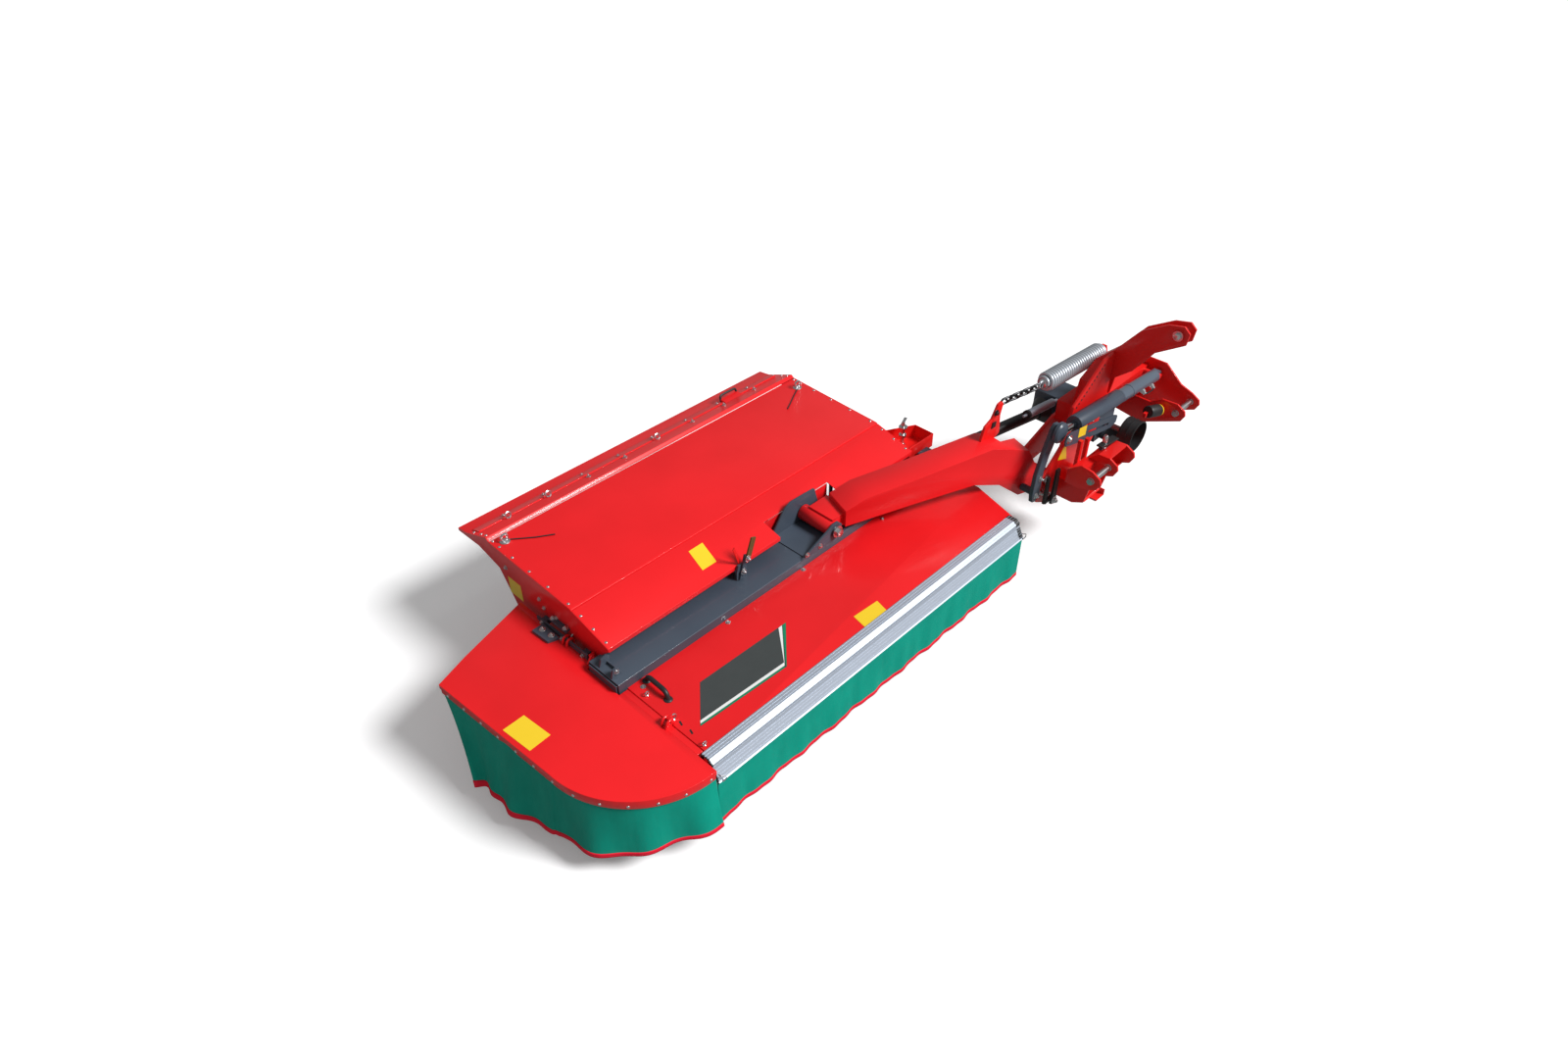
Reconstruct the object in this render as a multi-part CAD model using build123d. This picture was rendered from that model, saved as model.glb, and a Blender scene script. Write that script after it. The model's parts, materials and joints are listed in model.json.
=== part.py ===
from build123d import *
from math import cos, degrees, hypot, pi, radians, sin
import os

# Rear-mounted disc mower with a tine conditioner, carried beside the tractor on a three-point headstock.
# Millimetres. +X runs from the outer end of the cutterbar towards the headstock, -Y is the way it
# drives and +Z is up. While it is drawn, X = 0 is the middle of the deck, Y = 40 the line of the
# disc centres and Z = 0 the ground; the last step moves the whole machine so that the origin is at
# the bottom centre of its box.

# Deck and covers
DECK_OUTER, DECK_INNER = -1475, 1475    # ends of the deck
DECK_FRONT = -380                       # front of the rounded outer corner
DECK_TOP = 500                          # top of the covers
SHEET = 4                               # cover plate
RIM = 22                                # folded edge under a cover
CORNER_R = 490                          # round outer corner
COVER_FRONT = -312                      # front edge of the front cover
SEAM = -890                             # between outer cover and front cover
RAIL_OUTER, RAIL_INNER = -917, 1377     # ends of the aluminium rail
HEM = 128                               # lower edge of the skirts
SKIRT = 6                               # skirt thickness of the collision solid

# Main beam across the machine
BEAM_X = (-935, 1400)
BEAM_Y = (252, 470)
BEAM_Z = (430, 550)
BEAM_WALL = 8

# Cutterbar
BAR_END = 1330
BAR_Y = (-40, 120)
BAR_Z = (38, 92)
DISC_COUNT = 7
DISC_PITCH = 385
DISC_Y = 40
DISC_R = 168
BLADE_TIP_R = 226

# Conditioner and hood
HOOD_OUTER, HOOD_INNER = -870, 1340     # outside faces of the hood's end plates
END_PLATE = 5
ROTOR_Y, ROTOR_Z = 640, 312
ROTOR_TUBE_R, ROTOR_TIP_R = 70, 188
DOOR_Y = (850, 1270)
DOOR_Z = (250, 640)
DOOR_HINGE_R = 8

# Pivots: X and Z of axes that run along Y
DECK_PIVOT = (519, 605)                 # deck tilts under the arm
LIFT_PIVOT = (1840, 475)                # arm lifts on the headstock
LEVER_HUB = (1795, 845)                 # rod eye at rest
CYL_ANCHOR = (2900, 745)                # foot of the lift cylinder
CYL_Y = -265                            # plane of the cylinder
LIFT_MAX = 90                           # degrees, folded upright for the road

# Arm, drawn along its own slant in plan
ARM_HALF = 92                           # half its width
ARM_START = (519, 366)                  # middle of the deck pivot tube, X and Y
ARM_SLANT = radians(-19.4)              # in plan, forward towards the headstock
ARM_REAR_CUT = -15                      # back face of the end that sits between the pivot plates

# Headstock
FRONT_PLATE_Y = (-210, -190)
REAR_PLATE_Y = (-10, 10)
LEVER_Y = (-240, -215)
MAIN_X, MAIN_Y, MAIN_Z = (2190, 2950), (-190, -10), (642, 772)
GEARBOX = ((2400, 2600), (-190, 260), (450, 640))
LINK_Y, LINK_Z = -500, 632              # lower link pins
LINK_PIN_R = 18.3                       # category 3, 36.6 mm
NEAR_EARS, FAR_EARS = (1793, 1987), (2760, 2954)
NEAR_BOX_X = 2170                       # far side of the box beside the near bracket's inner ear
EAR = 12
MAST_PIN = (-541, 1317)                 # top link pin, Y and Z
MAST_PIN_R = 15.9                       # category 3, 31.8 mm
MAST_EARS = (2392, 2476)
PTO_X, PTO_Z = 2500, 545
PTO_R = 17.45                           # 1 3/8 inch shaft
PTO_GUARD_R = 97
PTO_GUARD_BACK = -322                   # back edge of its round part
STAND_Y, STAND_Z = -40, 415             # hinge of the parking stand
SHAFT_IN = (2300, 160, 560)             # joint centre of the cross shaft at the headstock
SHAFT_OUT = (1580, 330, 530)            # and at the mower
SPRING_Y, CHAIN_Y = -35, 40


def block(x, y, z):
    size = (x[1] - x[0], y[1] - y[0], z[1] - z[0])
    return Pos((x[0] + x[1]) / 2, (y[0] + y[1]) / 2, (z[0] + z[1]) / 2) * Box(*size)


def outline(points, radius=0):
    face = make_face(Polyline(*points, close=True))
    return fillet(face.vertices(), radius) if radius else face


def plate_x(points, x, radius=0):
    """A plate normal to X from (Y, Z) points."""
    return Pos(x[0], 0, 0) * extrude(Plane.YZ * outline(points, radius), amount=x[1] - x[0])


def plate_y(points, y, radius=0):
    """A plate normal to Y from (X, Z) points."""
    return Pos(0, y[1], 0) * extrude(Plane.XZ * outline(points, radius), amount=y[1] - y[0])


def plate_z(points, z, radius=0):
    return Pos(0, 0, z[0]) * extrude(outline(points, radius), amount=z[1] - z[0])


def strip(points, thick):
    """Closed (Y, Z) outline of a bent sheet whose top face runs through the points."""
    under = []
    for i, (y, z) in enumerate(points):
        before, after = points[max(i - 1, 0)], points[min(i + 1, len(points) - 1)]
        run = hypot(after[0] - before[0], after[1] - before[1])
        under.append((y + thick * (after[1] - before[1]) / run, z - thick * (after[0] - before[0]) / run))
    return points + under[::-1]


def rod(start, end, radius):
    axis = Vector(*end) - Vector(*start)
    aligned = (Align.CENTER, Align.CENTER, Align.MIN)
    return Plane(origin=start, z_dir=axis) * Cylinder(radius, axis.length, align=aligned)


def pipe(start, end, radius, wall):
    return rod(start, end, radius) - rod(start, end, radius - wall)


def pin_y(at, y, radius):
    return rod((at[0], y[0], at[1]), (at[0], y[1], at[1]), radius)


def box_tube(x, y, z, wall):
    """A square tube along X, open at its ends."""
    return block(x, y, z) - block(x, (y[0] + wall, y[1] - wall), (z[0] + wall, z[1] - wall))


# Deck outlines -------------------------------------------------------------------------------------

ARC_CENTRE = (-935, DECK_FRONT + CORNER_R)


def corner_face(inset, rear, inner):
    """The deck's outer end in plan, its edge moved in by inset, closed at Y = rear and X = inner."""
    left = ARC_CENTRE[0] - CORNER_R
    r = CORNER_R - inset
    mid = (ARC_CENTRE[0] - r * cos(pi / 4), ARC_CENTRE[1] - r * sin(pi / 4))
    front = DECK_FRONT + inset
    edge = [
        Line((inner, rear), (DECK_OUTER + inset, rear)),
        Line((DECK_OUTER + inset, rear), (left + inset, ARC_CENTRE[1])),
        ThreePointArc((left + inset, ARC_CENTRE[1]), mid, (ARC_CENTRE[0], front)),
        Line((ARC_CENTRE[0], front), (inner, front)),
        Line((inner, front), (inner, rear)),
    ]
    return make_face(edge)


APRON = 45                              # deeper folded edge round the outer cover's round corner
EDGE_X = -924                           # where the strips along its inner side start


def outer_cover_sheet():
    """Flat cover with the round corner, folded down all round; a notch lets the beam's end through."""
    def area(inset):
        rear = [(-900 - inset, 1078 - inset), (-1298, 952 - inset), (DECK_OUTER + inset, 886 - inset)]
        body = corner_face(inset, 886 - inset, SEAM - 3 - inset)
        inner = SEAM - 3 - inset
        wedge = make_face(Polyline(*rear, (inner, 880 - inset), (inner, 1078 - inset), close=True))
        notch = Pos(-900, 361) * Rectangle(84 + 2 * inset, 232 + 2 * inset)
        front = Pos(-890, -368) * Rectangle(68 + 2 * inset, 216 + 2 * inset)
        return body + wedge - notch - front
    top = extrude(area(0), amount=SHEET)
    rim = extrude(area(0) - area(SHEET), amount=-RIM)
    band = corner_face(0, 886, -930) - corner_face(SHEET, 886 - SHEET, -900)
    apron = extrude(band & (Pos(-1205, 245) * Rectangle(560, 1262)), amount=-APRON)
    return Pos(0, 0, DECK_TOP - SHEET) * (top + rim + apron)


def outer_cover():
    return outer_cover_sheet() - block((EDGE_X, 0), (-600, 1200), (400, 600))


def cover_edges():
    """The strips along the outer cover's inner side, which carry its hinge eyes."""
    return outer_cover_sheet() & block((EDGE_X, 0), (-600, 1200), (400, 600))


def front_cover():
    edge = [(SEAM + 2, 252), (DECK_INNER, 252), (DECK_INNER, 8), (RAIL_INNER, COVER_FRONT),
            (RAIL_OUTER, COVER_FRONT), (RAIL_OUTER, -292), (SEAM + 2, -292)]
    area = outline(edge)
    rim = extrude(area - offset(area, -SHEET, kind=Kind.INTERSECTION), amount=-RIM)
    return Pos(0, 0, DECK_TOP - SHEET) * (extrude(area, amount=SHEET) + rim)


SKIRT_REAR = (590, 872)                 # Y of the outer skirt's slanted rear edge, at its hem and its top


def outer_skirt():
    rear = 886 - SHEET
    ring = corner_face(SHEET, rear, -900) - corner_face(SHEET + SKIRT, rear, -880)
    kept = ring & (Pos(-1205, 247) * Rectangle(550, 1250))
    bottom, top = SKIRT_REAR
    slant = plate_x([(bottom, HEM), (top, DECK_TOP), (900, DECK_TOP), (900, HEM)], (-1500, -1400))
    return Pos(0, 0, HEM) * extrude(kept, amount=DECK_TOP - SHEET - HEM) - slant


def inner_skirt():
    top = DECK_TOP - SHEET - RIM
    edge = [(DECK_INNER, 250), (DECK_INNER, 8), (RAIL_INNER + 2, COVER_FRONT + 6)]
    inside = [(x - SKIRT, y) for x, y in edge]
    return plate_z(edge + inside[::-1], (HEM, top))


def cover_rail():
    y, z = COVER_FRONT, DECK_TOP
    profile = [(y + 42, z), (y + 42, z + 6), (y - 6, z + 6), (y - 28, z - 10), (y - 28, z - 22),
               (y, z - 22), (y, z)]
    return plate_x(profile, (RAIL_OUTER, RAIL_INNER))


HINGE_RAIL = (-336, 469)                # axis of the folding front curtain, Y and Z
CURTAIN_BEAD = (-371, 404)


def curtain_rail():
    (hy, hz), (by, bz) = HINGE_RAIL, CURTAIN_BEAD
    web = plate_x([(hy - 6, hz), (by - 4, bz), (by + 4, bz), (hy + 4, hz - 4)], (RAIL_OUTER, RAIL_INNER))
    hinge = rod((RAIL_OUTER, hy, hz), (RAIL_INNER, hy, hz), 7)
    return web + hinge + rod((RAIL_OUTER, by, bz), (RAIL_INNER, by, bz), 9)


def front_skirt():
    y, top = CURTAIN_BEAD
    return block((RAIL_OUTER, RAIL_INNER), (y, y + SKIRT), (HEM, top - 9))


# Hinges of the outer cover: red eyes on the cover, pins on the machine
COVER_HINGE = (SEAM - 3, 530)           # X and Z of its axis
COVER_HINGE_Y = (-60, 490)              # where the two eyes start


def cover_hinge_eyes():
    x, z = COVER_HINGE
    profile = [(x - 40, DECK_TOP), (x - 12, z + 13), (x + 12, z + 13), (x + 12, z - 12), (x, DECK_TOP)]
    eyes = [plate_y(profile, (y, y + 10), 5) for y in COVER_HINGE_Y]
    return Compound(eyes) - pin_y(COVER_HINGE, (COVER_HINGE_Y[0] - 5, COVER_HINGE_Y[1] + 15), 8.06)


def cover_hinge_pins():
    x, z = COVER_HINGE
    pins = []
    for y, foot in zip(COVER_HINGE_Y, (DECK_TOP, DECK_TOP - 20)):
        ear = plate_y([(x - 11, z + 11), (x + 20, z + 11), (x + 20, foot), (x + 8, foot), (x + 8, z - 11),
                       (x - 11, z - 11)], (y + 15, y + 21))
        pins.append(ear + pin_y(COVER_HINGE, (y - 8, y + 21), 8))
    pins[1] += block((x + 8, x + 20), (BEAM_Y[1], y + 21), (foot - 20, foot))
    return Compound(pins)


# Cutterbar -----------------------------------------------------------------------------------------

def disc_x(i):
    return (i - (DISC_COUNT - 1) / 2) * DISC_PITCH


def cutterbar():
    (y0, y1), (z0, z1) = BAR_Y, BAR_Z
    profile = [(y0 - 22, z0 + 18), (y0, z1), (y1 - 8, z1), (y1, z1 - 10), (y1, z0), (y0 + 4, z0)]
    return plate_x(profile, (-BAR_END, BAR_END))


def skids():
    (y0, y1), z0 = BAR_Y, BAR_Z[0]
    profile = [(y0 - 62, z0 + 24), (y0 - 54, z0 + 30), (y0 - 22, z0), (y1 + 60, z0), (y1 + 150, 24),
               (y1 + 146, 6), (y1 + 120, 0), (y0, 0)]
    shoes = [plate_x(profile, (disc_x(i) - 85, disc_x(i) + 85)) for i in range(DISC_COUNT)]
    return Compound(shoes)


def disc(i):
    """Oval cutting disc on its hub with two blades; the end discs carry a drum that clears the crop."""
    base = BAR_Z[1] + 1
    hub = Pos(0, 0, base) * Cylinder(58, 18, align=(Align.CENTER, Align.CENTER, Align.MIN))
    dome = [(0, 16), (DISC_R, 16), (DISC_R, 22), (110, 34), (60, 46), (0, 46)]
    body = revolve(Plane.XZ * outline(dome), Axis.Z)
    oval = extrude(Ellipse(DISC_R, 128), amount=60)
    body = Pos(0, 0, base) * (body & oval)
    if i in (0, DISC_COUNT - 1):
        body += Pos(0, 0, base + 40) * Cone(105, 82, 150, align=(Align.CENTER, Align.CENTER, Align.MIN))
    blade = block((120, BLADE_TIP_R), (-22, 22), (base + 12, base + 16))
    turn = 90 * (i % 2)
    return Pos(disc_x(i), DISC_Y, 0) * Rot(0, 0, turn) * (hub + body + blade + Rot(0, 0, 180) * blade)


def bar_supports():
    """Side plates that carry the cutterbar from the main beam, behind the discs."""
    profile = [(BAR_Y[1], BAR_Z[0]), (BAR_Y[1], BAR_Z[1] - 10), (272, BAR_Z[1] - 10), (272, BEAM_Z[0]),
               (BEAM_Y[1] - 6, BEAM_Z[0]), (430, 300), (330, BAR_Z[0])]
    return Compound([plate_x(profile, (x, x + 14)) for x in (-864, 1320)])


# Conditioner ---------------------------------------------------------------------------------------

def tine_rotor():
    """Drum with rows of steel tines, carried in the hood's end plates."""
    outer, inner = HOOD_OUTER + END_PLATE + 28, HOOD_INNER - END_PLATE - 28
    shaft = pipe((outer, ROTOR_Y, ROTOR_Z), (inner, ROTOR_Y, ROTOR_Z), ROTOR_TUBE_R, 6)
    for tip, face, end in ((HOOD_OUTER, outer, outer + 12), (HOOD_INNER, inner, inner - 12)):
        cap = rod((face, ROTOR_Y, ROTOR_Z), (end, ROTOR_Y, ROTOR_Z), ROTOR_TUBE_R - 6)
        window = rod((face - 19, 0, 42), (face + 19, 0, 42), 12)
        for turn in range(0, 360, 90):
            cap -= Pos(0, ROTOR_Y, ROTOR_Z) * Rot(turn, 0, 0) * window
        shaft += cap + rod((tip, ROTOR_Y, ROTOR_Z), (end, ROTOR_Y, ROTOR_Z), 20)
    tines = []
    columns, rows = 13, 4
    tine = block((-7, 7), (-9, 9), (ROTOR_TUBE_R - 5, ROTOR_TIP_R))
    for column in range(columns):
        x = outer + 40 + column * (inner - outer - 80) / (columns - 1)
        for row in range(rows):
            turn = 90 * row + 45 * (column % 2)
            tines.append(Pos(x, ROTOR_Y, ROTOR_Z) * Rot(turn, 0, 0) * tine)
    return shaft + tines


HOOD_SPAN = (HOOD_OUTER + END_PLATE, HOOD_INNER - END_PLATE)
FRONT_PANEL = [(394, 606), (394, 631), (655, 699)]
TOP_PANEL = [(657, 691), (660, 703), (676, 705), (1330, 729)]
LIP = [(1334, 729), (1352, 744), (1552, 663), (1632, 652)]
END_OUTLINE = [
    (BEAM_Y[1], BEAM_Z[1]), (BEAM_Y[1], 240), (700, 205), (1100, 230), (1148, 390), (1270, 596), (1440, 640),
    (1632, 634), *LIP[::-1], *TOP_PANEL[::-1], (655, 699), (394, 631), (394, 612), (458, BEAM_Z[1]),
]
CLEVIS_NOTCH = ((255, 745), (385, 515))     # cut-out of the hood's front panel for the clevis and the arm


def hood_ends():
    ends = [plate_x(END_OUTLINE, (x, x + END_PLATE)) for x in (HOOD_OUTER, HOOD_INNER - END_PLATE)]
    return Compound(ends) - rod((HOOD_OUTER - 9, ROTOR_Y, ROTOR_Z), (HOOD_INNER + 9, ROTOR_Y, ROTOR_Z), 21)


def hood_front_panel():
    return plate_x(strip(FRONT_PANEL, SHEET), HOOD_SPAN) - block(*CLEVIS_NOTCH, (500, 800))


def hood_pocket_wall():
    """Upright sheet behind the clevis that closes the cut-out of the front panel."""
    (x0, x1), (_, y) = CLEVIS_NOTCH
    return block((x0, x1), (y, y + SHEET), (BEAM_Z[1] + 2, 652))


def drive_channel():
    """Open-topped channel beside the inner end plate that houses the conditioner's drive."""
    low, high, wall = BEAM_Z[1], 640, 5
    x0, x1 = HOOD_INNER, 1560
    case = plate_z([(x0, 410), (x1, 410), (x1, 545), (x0, 660)], (low, high))
    inside = [(x0 + wall, 410 + wall), (x1 - wall, 410 + wall), (x1 - wall, 542), (x0 + wall, 652)]
    return case - plate_z(inside, (low + wall, high + 1))

def swath_door(x, side):
    """Upright vane on a hinge rod behind the rotor; side is +1 at the outer end and -1 at the inner."""
    (front, rear), (low, high) = DOOR_Y, DOOR_Z
    vane = plate_x([(front, low), (rear - 190, low), (rear - 140, 390), (rear - 20, 590), (rear, high), (front, high)],
                   (x - 2, x + 2))
    post = rod((x, front, low - 10), (x, front, 700), DOOR_HINGE_R)
    stiffener = block((x, x + 18) if side > 0 else (x - 18, x), (front, rear - 140), (430, 434))
    return vane + post + stiffener


# Deck fittings -------------------------------------------------------------------------------------

CLEVIS_PLATES = ((247, 259), (484, 496))


def deck_clevis():
    x, z = DECK_PIVOT
    foot = BEAM_Z[1]
    front = plate_y([(262, foot), (x - 48, z + 30), (x - 20, z + 46), (x + 20, z + 46), (x + 46, z + 20),
                     (x + 50, foot)], CLEVIS_PLATES[0])
    rear = plate_y([(271, foot), (385, 690), (430, 712), (610, 704), (655, foot)], CLEVIS_PLATES[1])
    sole = block((290, x + 50), (CLEVIS_PLATES[0][0], CLEVIS_PLATES[1][1]), (foot, foot + 5))
    return front + rear + sole - pin_y(DECK_PIVOT, (200, 520), 22)


def deck_pin():
    return pin_y(DECK_PIVOT, (CLEVIS_PLATES[0][0] - 14, CLEVIS_PLATES[1][1] + 14), 22)


def lever_stand():
    """Conditioner setting lever on its quadrant, on the beam in front of the hood."""
    quadrant = block((-75, -5), (376, 388), (BEAM_Z[1], 640))
    return quadrant + plate_y([(-56, 565), (-30, 565), (-26, 800), (-46, 800)], (364, 376))


# Arm -----------------------------------------------------------------------------------------------

def arm():
    """Gooseneck box arm: deck pivot tube, slanted box with an arch over the deck's end, lift pivot tube."""
    # along the arm from the deck pivot, height
    section = [(110, 590), (110, 690), (230, 735), (560, 757), (1027, 800), (1167, 756), (1284, 715),
               (1380, 545), (1380, 415), (1255, 415), (1106, 534), (930, 590), (560, 593)]
    slant = Pos(*ARM_START, 0) * Rot(0, 0, degrees(ARM_SLANT))
    wall = 8
    shell = plate_y(section, (-ARM_HALF, ARM_HALF))
    core = make_face(Polyline(*section, close=True))
    core = offset(core, -wall, kind=Kind.INTERSECTION)
    inside = Pos(0, ARM_HALF - wall, 0) * extrude(Plane.XZ * core, amount=2 * (ARM_HALF - wall))
    box = slant * (shell - inside)
    box -= block((1600, 1900), (ARM_REAR_CUT, 300), (300, 900))
    box += plate_y([(1600, 505), (1600, 756), (1700, 726), (1760, 690), (1790, 560), (1790, 415), (1704, 415)],
                   (ARM_REAR_CUT - wall, ARM_REAR_CUT))
    neck = block((DECK_PIVOT[0], 660), (270, 440), (582, 660))
    deck_tube = pin_y(DECK_PIVOT, (266, 478), 44)
    lift_tube = pin_y(LIFT_PIVOT, (-185, ARM_REAR_CUT), 60)
    bores = pin_y(DECK_PIVOT, (200, 520), 22.06) + pin_y(LIFT_PIVOT, (-300, 100), 25.06)
    return box + neck + deck_tube + lift_tube - bores


def spring_horn():
    """Hooked plate standing on the arm, which the relief spring's chain pulls."""
    hook = [(1470, 795), (1500, 880), (1560, 905), (1605, 980), (1640, 985), (1652, 965), (1636, 900),
            (1650, 780), (1598, 757)]
    return plate_y(hook, (CHAIN_Y - 8, CHAIN_Y + 8), 8) - arm()


def lift_lever():
    """Curved lever bolted to the arm's end; the cylinder pulls its top."""
    hx, hz = LEVER_HUB
    band = [(hx - 40, hz + 20), (hx - 12, hz + 46), (hx + 30, hz + 36), (hx + 46, hz - 10), (1770, 700),
            (1738, 600), (1735, 500), (1732, 430), (1700, 405), (1665, 415), (1655, 470), (1664, 600),
            (1700, 720)]
    spacer = pin_y((1690, 470), (LEVER_Y[1], -144), 22)
    return plate_y(band, LEVER_Y, 10) + (spacer - arm())


# Headstock -----------------------------------------------------------------------------------------

def pivot_plates():
    px, pz = LIFT_PIVOT
    front = plate_y([(px - 58, pz - 10), (px - 72, 345), (px + 30, 290), (2010, 300), (2250, 420), (2350, 560),
                     (MAST_EARS[0], 772), (MAST_EARS[0], 1085), (2281, 1075), (2012, 880), (1960, 640),
                     (px + 5, pz + 58), (px - 50, pz + 30)], FRONT_PLATE_Y, 12)
    rear = plate_y([(px - 58, pz), (px - 20, pz - 55), (2190, 440), (2290, 440), (2290, 660), (2190, 660),
                    (px + 5, pz + 58), (px - 50, pz + 30)], REAR_PLATE_Y, 12)
    return Compound([front, rear]) - pin_y(LIFT_PIVOT, (-300, 100), 25)


def lift_pin():
    return pin_y(LIFT_PIVOT, (FRONT_PLATE_Y[0] - 4, REAR_PLATE_Y[1] + 14), 25)


def main_tube():
    """Square tube with the post of the relief spring and the foot pin of the lift cylinder."""
    z = MAIN_Z[1]
    post = plate_x([(-75, z), (-75, 900), (-50, 985), (-20, 985), (-12, 900), (-12, z)], (2590, 2604))
    cap = block((MAIN_X[0], MAIN_X[0] + 8), MAIN_Y, MAIN_Z)
    return box_tube(MAIN_X, MAIN_Y, MAIN_Z, 10) + cap + post + pin_y(CYL_ANCHOR, (CYL_Y - 34, MAIN_Y[0]), 16)


def near_bracket():
    """Cranked bracket that carries the lower link pin nearest the mower, clear of the lift lever."""
    y0 = FRONT_PLATE_Y[0]
    ear = [(y0, 296), (y0, 410), (-300, 430), (-345, 610), (-430, 688), (LINK_Y, LINK_Z + 60), (-552, 662),
           (-560, LINK_Z), (-540, 590), (LINK_Y, 572), (-440, 540), (-400, 330), (-330, 296)]
    x0, x1 = NEAR_EARS
    outer = [(-350, 552), (-350, 640), (-430, 700), (LINK_Y, LINK_Z + 60), (-552, 662), (-560, LINK_Z),
             (-540, 590), (LINK_Y, 572), (-440, 552)]
    ears = plate_x(outer, (x0, x0 + EAR)) + plate_x(ear, (x1 - EAR, x1))
    beam = block((x0 + EAR, x1 - EAR), (-420, -352), (556, 636))
    ears -= rod((x0 - 9, LINK_Y, LINK_Z), (x1 + 9, LINK_Y, LINK_Z), LINK_PIN_R + 3)
    # a box beside the inner ear carries it on the front plate
    inside = (x1, NEAR_BOX_X - EAR)
    side = plate_x(ear, (NEAR_BOX_X - EAR, NEAR_BOX_X))
    roof = plate_x(strip([(LINK_Y, LINK_Z + 60), (-430, 688), (-345, 610), (-300, 430)], 10), inside)
    floor = plate_x([(-440, 540), (LINK_Y, 572), (LINK_Y, 582), (-446, 552)], inside)
    sole = plate_x([(y0, 296), (y0, 306), (-326, 306), (-394, 340), (-404, 332), (-330, 296)], inside)
    return ears + beam + side + roof + floor + sole


def far_bracket():
    x0, x1 = FAR_EARS
    nose = [(LINK_Y, LINK_Z + 60), (-552, 662), (-560, LINK_Z), (-540, 590), (LINK_Y, 572), (-300, 480),
            (-12, 520)]
    inner = [(-12, MAIN_Z[0]), (-330, 640), (-400, 688), *nose]
    outer = [(-12, MAIN_Z[1]), (-190, 820), (-300, 820), (-420, 720), *nose]
    ears = plate_x(inner, (x0, x0 + EAR)) + plate_x(outer, (x1 - EAR, x1))
    tie = block((x0 + EAR, x1 - EAR), (-200, -30), (560, 572))
    ears += tie
    ears -= rod((x0 - 9, LINK_Y, LINK_Z), (x1 + 9, LINK_Y, LINK_Z), LINK_PIN_R + 3)
    return ears - block(MAIN_X, MAIN_Y, MAIN_Z)


def ear_pin(ears, at, radius):
    """Pin along X, thicker inside its two ears, so that the length between them is the link's seat."""
    x0, x1 = ears
    pin = rod((x0 - 14, *at), (x1 + 14, *at), radius)
    for x in (x0, x1 - EAR):
        pin += rod((x, *at), (x + EAR, *at), radius + 3)
    return pin


def mast():
    """Two swan-necked plates for the top link, with a gusset down to the main tube."""
    neck = [(-98, MAIN_Z[1]), (-98, 1000), (-197, 1095), (-324, 1262), (-470, 1352), (-560, 1372),
            (-598, 1340), (-590, 1270), (-427, 1160), (-330, 1010), (-205, 900), (-188, MAIN_Z[1])]
    x0, x1 = MAST_EARS
    plates = plate_x(neck, (x0, x0 + EAR)) + plate_x(neck, (x1 - EAR, x1))
    web = plate_x([(-98, MAIN_Z[1]), (-98, 1000), (-197, 1095), (-204, 1088), (-106, 996), (-106, MAIN_Z[1])],
                  (x0 + EAR, x1 - EAR))
    gusset = plate_y([(2200, MAIN_Z[1]), (2236, 930), (x0, 1000), (x0, MAIN_Z[1])], (-186, -98))
    return plates + web + gusset - rod((x0 - 9, *MAST_PIN), (x1 + 9, *MAST_PIN), MAST_PIN_R + 3)


def gearbox():
    """Gearbox with the stub of the cross shaft and the fork of the parking stand."""
    case = block(*GEARBOX)
    stub = rod((SHAFT_IN[0] + 48, *SHAFT_IN[1:]), (GEARBOX[0][0], *SHAFT_IN[1:]), 20)
    y, z = (STAND_Y - 25, STAND_Y + 25), (STAND_Z - 20, GEARBOX[2][0])
    fork = block((2466, 2478), y, z) + block((2542, 2554), y, z)
    return case + stub + fork + rod((2460, STAND_Y, STAND_Z), (2560, STAND_Y, STAND_Z), 10)


def pto_guard():
    """Short round shield on a tongue that leaves room for the lowered lift cylinder."""
    ring = pipe((PTO_X, -415, PTO_Z), (PTO_X, PTO_GUARD_BACK, PTO_Z), PTO_GUARD_R, 5)
    shell = pipe((PTO_X, PTO_GUARD_BACK, PTO_Z), (PTO_X, GEARBOX[1][0], PTO_Z), PTO_GUARD_R, 5)
    low = PTO_Z - PTO_GUARD_R
    return ring + (shell & block((PTO_X - 99, PTO_X + 99), (-400, 0), (low - 1, low + 35)))


def pto_shaft():
    return rod((PTO_X, -345, PTO_Z), (PTO_X, GEARBOX[1][0] - 1, PTO_Z), PTO_R)


def parking_stand():
    """Leg that folds back under the gearbox, with an angle foot along Y."""
    leg = block((2485, 2535), (STAND_Y - 25, STAND_Y + 25), (8, STAND_Z + 14))
    leg -= rod((2400, STAND_Y, STAND_Z), (2600, STAND_Y, STAND_Z), 10.06)
    foot = block((2465, 2560), (-265, 5), (0, 8)) + block((2552, 2560), (-265, 5), (8, 45))
    return leg + foot


SPRING_ENDS = ((1935, 1003), (2560, 960))       # X and Z of the coil's ends
SPRING_R, SPRING_WIRE = 50, 6


def relief_spring():
    """Close-wound relief spring, as a hollow sleeve with a hook at each end."""
    (xa, za), (xb, zb) = SPRING_ENDS
    a, b = Vector(xa, SPRING_Y, za), Vector(xb, SPRING_Y, zb)
    along = (b - a).normalized()
    inside = SPRING_R - 2 * SPRING_WIRE
    coil = pipe(a, b, SPRING_R, 2 * SPRING_WIRE)
    plugs = rod(a, a + along * 25, inside) + rod(b - along * 25, b, inside)
    return coil + plugs + rod(a - along * 34, a, 8) + rod(b, b + along * 26, 8)


CHAIN_LINKS = 7
LINK_WIRE, LINK_WIDTH = 9, 30
CHAIN_ENDS = ((1660, CHAIN_Y, 975), (1887, SPRING_Y, 1004))


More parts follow.
